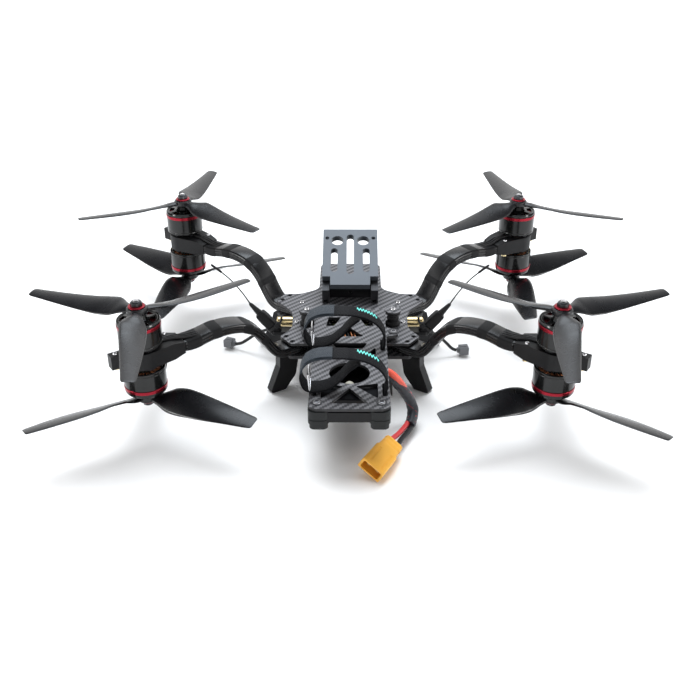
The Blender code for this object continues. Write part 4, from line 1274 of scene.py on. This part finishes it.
def make_body_fasteners():
    """Steel screws in the plates and holders, dull ones in the tray, sunk black arm bolts, and posts."""
    top = PLATE_TOP[1]
    screw = screw_mesh(2.4, 1.5, 1.1)
    post = turned([(0, 0), (2.6, 0), (3.0, 0.5), (3.0, 9.3), (2.6, 9.8), (0, 9.8)], sides=24)
    parts, dark, posts = [], [], []
    for side in (-1, 1):
        for x, y in ((45.1, 27.8), (39.6, 13.0), (48.1, -11.3), (24.0, 66.0)):
            parts.append((screw, shifted(side * x, y, top)))
            parts.append((screw, shifted(side * x, min(y, 56.0), PLATE_BOTTOM[0]) @ rotated(math.pi, "X")))
        parts.append((screw, shifted(side * 38.5, -15.0, 69.2)))
        dark.append((screw_mesh(2.7, 1.6, 1.4), shifted(side * 38, -42, TRAY[1])))
        dark.append((screw_mesh(3.1, 1.5, 1.7), shifted(side * 25, -155, TRAY[1])))
        for x, y in ((39.6, 13.0), (24.0, 56.0)):
            posts.append((post, shifted(side * x, y, PLATE_BOTTOM[1] + 0.1)))
    place("body_screws", gathered(parts), "steel")
    place("tray_screws", gathered(dark), "magnet")
    sunk = screw_mesh(1.9, 1.2, 1.0)
    place("arm_bolts", gathered([(sunk, shifted(x, y, top - 1.9)) for x, y in horn_spots()]), "black_metal")
    place("plate_posts", gathered(posts), "black_metal")


def make_legs():
    """Fins under the four horns, along the arms, splayed outward and leaning to the middle."""
    profiles = {
        1: [(119, 38.2, 0.5), (117, 27, 5), (104, 0, 2.5), (122, 0, 2.5), (136, 14, 8), (139, 38.2, 0.5)],
        -1: [(123.5, 38.2, 0.5), (124, 27, 5), (115.5, 0, 2.5), (131, 0, 2.5), (141, 14, 8),
             (143, 38.2, 0.5)],
    }
    for corner, (side, front) in CORNERS.items():
        fin = eased(upright(slab(rounded(profiles[front], 6), [], -4, 4)), 1.6, 4)
        for vert in fin.vertices:
            drop = 38.2 - vert.co.z / MM
            vert.co.y += side * front * (3.5 + drop * 0.15) * MM
        place(f"leg_{corner}", fin, "printed", arm_matrix(corner), f"landing_leg_{corner}")


def make_stack():
    """Speed controller and flight controller with their parts, on four posts, with leads."""
    corners = [(x, y) for x in (-14, 14) for y in (-14, 14)]
    outline = panel(both(17.5), both(17.5), 2.5, steps=7)
    plain = eased(slab(outline, [circle(x, y, 1.7, 20) for x, y in corners], 0, 1.6), 0.15)
    boards = [(plain, shifted(0, STACK_Y, z)) for z in (42.9, 50.3)]
    place("stack_boards", gathered(boards), "board", stands_for="flight_stack")
    chip = eased(box(both(1.5), both(1.7), (0, 0.9), 0.2), 0.12)
    processor = eased(box(both(4), both(4), (0, 1.1), 0.3), 0.15)
    sensor = eased(box(both(2.5), both(3), (0, 1.6), 0.3), 0.15)
    socket = eased(box(both(4), both(1.8), (0, 2.6), 0.3), 0.2)
    parts = [(processor, shifted(-2, STACK_Y + 3, 51.9)), (sensor, shifted(7, STACK_Y - 5, 51.9)),
             (chip, shifted(-8, STACK_Y - 7, 51.9))]
    for side in (-1, 1):
        parts += [(chip, shifted(side * row, STACK_Y - 8 + index * 4.0, 44.5))
                  for index in range(5) for row in (12.2, 8.2)]
        parts.append((socket, shifted(0, STACK_Y + side * 14.6, 51.9)))
        parts.append((socket, shifted(side * 14.6, STACK_Y, 51.9) @ rotated(math.pi / 2)))
    place("stack_parts", gathered(parts), "chip")
    profile = [(0, 0), (1.5, 0), (1.5, 1.0), (2.5, 1.1), (2.5, 5.7), (1.5, 5.8), (1.5, 9.0), (2.5, 9.1),
               (2.5, 12.2), (1.5, 12.6), (0, 12.6)]
    post = turned(profile, sides=36, hexagon=(2.3, 2.6, 2.8))
    place("stack_posts", gathered([(post, shifted(x, STACK_Y + y, 41.9)) for x, y in corners]), "brass")
    route = ((0, -30.0, 53.0), (0.4, -33.0, 56.0), (1.2, -38.0, 56.8), (2.2, -43.0, 55.6),
        (2.8, -46.0, 51.0), (3.0, -46.6, 45.8))
    for finish, lanes in (("black_wire", (1, 4)), ("copper", (0, 2, 3))):
        tubes = [pipe(smooth_line([(x - 6.0 + lane * 3.0, y, z) for x, y, z in route], 8), 0.8, 10,
                      start=(1, 0, 0)) for lane in lanes]
        place(f"stack_leads_{finish}", gathered(tubes), finish)
    make_arm_leads()


def make_arm_leads():
    """Motor wires from the arms' roots to the speed controller, lying between the plates."""
    parts = []
    for side, front in CORNERS.values():
        for drop in (-2.1, 0, 2.1):
            root = Vector((side * 44.0, (31.0 if front > 0 else -32.0) + drop, PLATE_GAP_MID + 1.2))
            end = Vector((side * 16.5, STACK_Y + front * 8.0 + drop, 45.4))
            middle = root.lerp(end, 0.5) + Vector((0, -front * 3.0, 1.6))
            near = root.lerp(end, 0.15) + Vector((0, front * 1.0, 0.6))
            parts.append(pipe(smooth_line([root, near, middle, end], 10), 0.95, 10))
    place("motor_wires_inner", gathered(parts), "black_wire")


# ---------------------------------------------------------------- sides and antennas

def make_side_pieces():
    for name, side in SIDES.items():
        barrel = turned([(0, 0), (4.7, 0), (4.7, 14.6), (4.4, 14.9), (4.4, 15.3), (4.7, 15.6), (4.7, 17.8),
                         (4.0, 18.7), (1.9, 19.0), (1.7, 16.0), (0, 16.0)])
        lay = shifted(side * 48.5, 4.0, PLATE_GAP_MID) @ rotated(side * math.pi / 2, "Y")
        place(f"waist_spacer_{name}", eased(barrel, 0.15), "brass", lay, f"side_spacer_{name}")
        bobbin = turned([(0, 0), (6.0, 0), (6.6, 0.5), (6.6, 2.2), (6.0, 2.9), (5.1, 3.6), (4.9, 5.0),
                         (5.4, 6.2), (5.4, 7.4), (4.9, 8.6), (5.1, 10.0), (6.0, 10.6), (6.6, 11.2),
                         (6.6, 12.4), (6.2, 12.8), (0, 12.8)], angle=40)
        spot = shifted(side * 38.5, -15.0, PLATE_TOP[1] + GAP)
        place(f"bobbin_rubber_{name}", bobbin, "rubber", spot, f"bobbin_{name}")
        washer = turned([(2.0, 13.1), (7.1, 13.1), (7.3, 13.3), (7.3, 14.5), (7.1, 14.7), (2.0, 14.7)],
            ring=True)
        place(f"bobbin_washer_{name}", washer, "carbon", spot)
        make_antenna(name, side)


def make_antenna(name, side):
    """Printed holder tied with a zip tie, and a whip with a sleeved tip."""
    foot = Vector((side * 65.9, ANTENNA_Y, 42.6))
    mouth = Vector((side * 81.8, ANTENNA_Y, 61.5))
    axis = (mouth - foot).normalized()
    reach = (mouth - foot).length
    at_foot = aimed(foot, axis)
    sizes = ((0, 3.4), (0.8, 4.0), (4.5, 4.0), (5.2, 3.5), (7.8, 3.5), (8.5, 4.0), (reach - 6, 4.0),
             (reach - 1, 3.6), (reach, 3.0))
    holder = loft([at_height(panel(both(half), both(half + 1), 1.6, steps=5), along)
                   for along, half in sizes])
    tab = box(sorted((side * 54.0, side * 70.0)), (ANTENNA_Y - 5, ANTENNA_Y + 5), (41.9, 44.6), 1.5)
    place(f"antenna_holder_{name}", eased(joined(moved(holder, at_foot), [tab]), 0.4), "printed",
          stands_for=f"antenna_mount_{name}")
    boot = turned([(0, 0), (2.7, 0), (3.0, 0.4), (2.9, 2.0), (2.6, 2.2), (2.6, 3.0), (2.7, 3.2), (2.4, 5.4),
        (2.2, 5.6), (2.2, 6.4), (2.2, 6.6), (1.6, 11.4), (0.9, 12.8), (0, 12.9)], sides=28, angle=30)
    sag = Vector((-axis.z, 0, axis.x)) * (-side)
    bends = ((11.5, 0), (25, 2.2), (40, 3.0), (52, 1.8), (62.5, 0))
    route = smooth_line([axis * along - sag * drop for along, drop in bends], 8)
    radii = [0.6 if point.dot(axis) < 51.5 else 1.15 for point in route[:-1]] + [0.7]
    rod = pipe(route, radii, 14, start=(0, 1, 0), angle=40)
    tip = mouth + axis * GAP
    place(f"antenna_whip_{name}", gathered([(boot, aimed(tip, axis)), (rod, shifted(*tip))]), "rubber",
          stands_for=f"antenna_{name}")
    loop = panel(both(4.0), both(5.0), 1.8, steps=5)
    section = ((-0.3, 5.3), (0.5, 5.3), (0.5, 7.7), (-0.3, 7.7))
    tie = loft([[Vector((*(point + point.normalized() * out), height)) for out, height in section]
                for point in loop + loop[:1]])
    head = eased(box(both(2.2), both(2.4), both(2.0), 0.5), 0.3)
    tail = [(3.8, 5.6, 6.5), (5.0, 8.5, 7.2), (6.6, 13.0, 9.0), (7.6, 16.0, 12.0)]
    tail = pipe(smooth_line([(-side * x, y, z) for x, y, z in tail], 6), 1.2, 8, flat=0.9, angle=35)
    parts = [(tie, at_foot), (head, at_foot @ shifted(-side * 3.8, 5.6, 6.5)), (tail, at_foot)]
    place(f"antenna_tie_{name}", gathered(parts), "black_wire")


# ---------------------------------------------------------------- camera mount

def make_camera_mount():
    slots = [long_slot(0, 13.5, 65.3, 6.7)]
    for side in (-1, 1):
        slots += [long_slot(side * 15.2, 16.3, 46.8, 6.3), circle(side * 12.4, 57.3, 5.9),
                  circle(side * 22.2, 60.6, 2.0)]
    side = [(CAMERA_HALF, CAMERA_LENGTH, 1), (CAMERA_HALF, 10.5, 0.3), (18.6, 10.5, 0.3), (18.6, 0, 0.5)]
    plate = eased(slab(rounded(mirrored(side), 4), slots, -CAMERA_THICK, 0), 0.3)
    place("camera_deck", plate, "aluminium", shifted(0, *CAMERA_NEAR) @ rotated(CAMERA_TILT, "X"),
        "camera_plate")

    def under(y):
        near_y, near_z = CAMERA_NEAR
        drop = CAMERA_THICK / math.cos(CAMERA_TILT) + GAP + 0.1
        return near_z + (y - near_y) * math.tan(CAMERA_TILT) - drop

    foot = PLATE_TOP[1] + GAP
    wall = [(26, foot), (60, foot), (60, under(60)), (26, under(26))]
    back = [(38, foot), (41, foot), (41, under(41)), (38, under(38))]
    cheeks = [sideways(slab(wall, [], low, low + 6.6)) for low in (-26.1, 19.5)]
    cuts = [upright(slab(circle(0, 60, 1.8), [], -39.8, -35))]
    window = rounded([(44, 58, 2), (56, 58, 2), (56, 70, 2), (44, 66, 2)], 4)
    for middle in (-22.8, 22.8):
        cuts.append(sideways(slab(window, [], middle - 5, middle + 5)))
        cuts.append(box((middle - 2.0, middle + 2.0), (20, 30), (foot - 1, foot + 3.4)))
    bracket = carved(joined(sideways(slab(back, [], -20.5, 20.5)), cheeks), cuts)
    place("camera_stand", eased(bracket, 0.35), "black_metal", stands_for="camera_bracket")


# ---------------------------------------------------------------- battery tray

def make_tray():
    half = [(TRAY_HALF, TRAY_FRONT, 5), (TRAY_HALF, -34, 2), (42, -37, 3), (42, -47, 3), (TRAY_HALF, -50, 2),
            (TRAY_HALF, TRAY_REAR, 7)]
    reach = STRAP_WIDTH / 2 + 1
    shapes = [((0, -34), (12, -50), (-12, -50)), ((15, -62), (11, -71), (-11, -71), (-15, -62)),
              ((0, -134), (15, -156), (-15, -156))]
    holes = []
    parts = []
    eyelet = turned([(1.7, 0), (4.4, 0), (4.6, 0.3), (4.2, 0.9), (1.7, 0.9)], ring=True)
    ring = turned([(3.3, 0), (4.3, 0), (4.3, 0.4), (3.3, 0.5)], ring=True)
    for side in (-1, 1):
        holes += [panel((side * 26, side * 30), (y - reach, y + reach), 1) for y in STRAP_Y]
        shapes.append(((side * 8, -15), (side * 19, -15), (side * 21, -31), (side * 14, -31)))
        shapes.append(((side * 14, -81), (side * 22, -81), (side * 22, -69)))
        shapes.append(((side * 5, -131), (side * 22.5, -127), (side * 22.5, -149)))
        holes.append(circle(side * 38, -42, 1.6, 20))
        parts.append((eyelet, shifted(side * 38, -42, TRAY[1])))
        parts.append((ring, shifted(side * 25, -155, TRAY[1])))
    holes += [rounded([(x, y, 0.8) for x, y in shape], 4) for shape in shapes]
    holes.append(circle(0, -111, 16.5, 64))
    tray = eased(slab(rounded(mirrored(half)), holes, *TRAY), 0.25)
    place("tray_deck", tray, "carbon", stands_for="battery_tray")
    place("tray_eyelets", gathered(parts), "black_metal")


def make_tray_frame():
    """Printed pad, rails and cross bars, with layered pods at the rear corners."""
    top = TRAY[0] - GAP
    floor = TROUGH_LOW + 1.4
    pad = slab(panel(both(31), (-53, 1), 1, 3), [panel(both(20), (-47.5, -5), 2)], PLATE_TOP[1] + GAP, top)
    pieces = [box(sorted((side * 23, side * 31.2)), (-158, BODY_REAR - 0.8), (RAIL_LOW, top), 0.6)
              for side in (-1, 1)]
    for x, y, z in ((both(24), (-163.5, -157.5), (48.4, 57.0)), (both(24), (-126, -116), (TROUGH_LOW, 51.0)),
                    ((-31.2, 23), (-120, -53), (TROUGH_LOW, floor)),
                    ((-31.2, -23), (-120, -53), (TROUGH_LOW, RAIL_LOW + 1))):
        pieces.append(box(x, y, z, 0.5))
    reach = STRAP_WIDTH / 2 + 1
    cuts = [box(sorted((side * 21, side * 34)), (y - reach, y + reach), (54.6, 60))
            for y in STRAP_Y for side in (-1, 1)]
    cuts.append(box((18, 34), (-105, -79.5), (44, 56.4)))
    rails = eased(carved(joined(pad, pieces), cuts), 0.4)
    place("tray_rails", rails, "printed", stands_for="tray_frame")
    knob = turned([(0, 0), (4.6, 0), (4.6, 1.2), (4.0, 1.6), (4.0, 4.0), (3.4, 5.6), (2.0, 6.7), (0, 7.0)])
    place("tray_knob", moved(knob, shifted(0, -118.5, 50)), "pale_knob")
    tiers = ((50.9, top, 0.0, 5.0), (46.9, 51.2, 0.9, 4.6), (46.6, 50.3, 0.0, 5.0), (45.6, 46.8, 1.6, 4.0),
             (42.0, 46.0, 1.0, 4.2))
    for name, side in SIDES.items():
        parts = []
        for low, high, inset, radius in tiers:
            x = side * (32 - inset), side * (15.5 + inset)
            parts.append(slab(panel(x, (-165 + inset, -147 - inset), radius, 3, 6), [], low, high))
        place(f"tray_pod_{name}", eased(joined(parts[0], parts[1:]), 0.3), "pod")


def strap_line():
    """Strap's path in X and Z: free end, fold at the left, arch, right slot, under the tray."""
    path = ((8, 88.6), (0, 82.0), (-7, 73.5), (-15, 66.6), (-25, 63.6), (-33.5, 64.5), (-37.5, 71),
        (-37.8, 79), (-34.5, 87), (-26, 92.2), (-13, 93.6), (1, 93.2), (13, 90.4), (23, 84), (28.6, 75),
        (29.6, 67), (28.0, 61), (27.8, 57.6), (25.4, 56.4), (10, 56.4), (-10, 56.4), (-25.4, 56.4),
        (-27.8, 57.4), (-28.0, 60.4))
    return smooth_line([(x, z, 0) for x, z in path], 6)


def ribbon(line, width, thick):
    """Flat band along a line in X and Z, thinner at its rounded edges, slightly cupped."""
    half = width / 2
    top = [(half, 0.0), (half - 0.25, 0.38), (half - 1.2, 0.5), (0.0, 0.46), (1.2 - half, 0.5),
        (0.25 - half, 0.38)]
    bottom = [(-half, 0.0), (0.25 - half, -0.38), (1.2 - half, -0.5), (0.0, -0.5), (half - 1.2, -0.5),
              (half - 0.25, -0.38)]
    rings = []
    for point, ahead in zip(line, headings(line)):
        out = Vector((-ahead.y, 0, ahead.x)) * thick
        rings.append([Vector((point.x, across, point.y)) + out * up for across, up in top + bottom])
    return loft(rings, 50)


def make_straps():
    line = strap_line()
    fold = [p + Vector((0, 1.5, 0)) for p in line if p.x < -12.5 and p.y > 86.0]
    corners = rounded([(-9.2, 64.5, 2.2), (9.2, 66.5, 2.2), (9.2, 79.5, 2.2), (-9.2, 80.0, 2.2)], 6)
    loop = [Vector((-31.0 - min(1.0, (p.y - 67) / 8), p.x, p.y)) for p in corners]
    middle = sum(loop, Vector()) / len(loop)
    rings = []
    for point in loop + loop[:1]:
        out = (point - middle).normalized()
        turns = [polar(0.65, math.tau * side / 10) for side in range(10)]
        rings.append([point + out * turn.x + Vector((turn.y, 0, 0)) for turn in turns])
    ring = loft(rings, 60)
    for name, y in zip(("front", "rear"), STRAP_Y):
        spot = shifted(0, y, 0)
        place(f"strap_{name}", ribbon(line, STRAP_WIDTH, 1.8), "webbing", spot, f"battery_strap_{name}")
        place(f"strap_fold_{name}", ribbon(fold, STRAP_WIDTH - 0.6, 1.1), "webbing", spot)
        place(f"strap_ring_{name}", moved(ring.copy(), spot), "steel")


def make_zip_tail():
    """Cut end of a zip tie hanging at the tray's right rail."""
    route = [(31.8, -96.5, 47.5), (33.4, -97.6, 44.0), (34.6, -98.4, 38.0), (35.2, -98.8, 31.5)]
    line = smooth_line(route, 8)
    radii = [1.5 - 0.9 * (index / (len(line) - 1)) ** 2 for index in range(len(line))]
    place("zip_tie_tail", pipe(line, radii, 8, start=(0, 1, 0), flat=0.5, angle=35), "black_wire")


def main():
    for make in (make_finishes, make_camera, make_power_lead, make_pigtails, make_floor, make_lights,
            make_world, make_rotors, make_arms, make_plates, make_body_fasteners, make_legs, make_stack,
            make_side_pieces, make_camera_mount, make_tray, make_tray_frame, make_straps, make_zip_tail):
        make()


main()
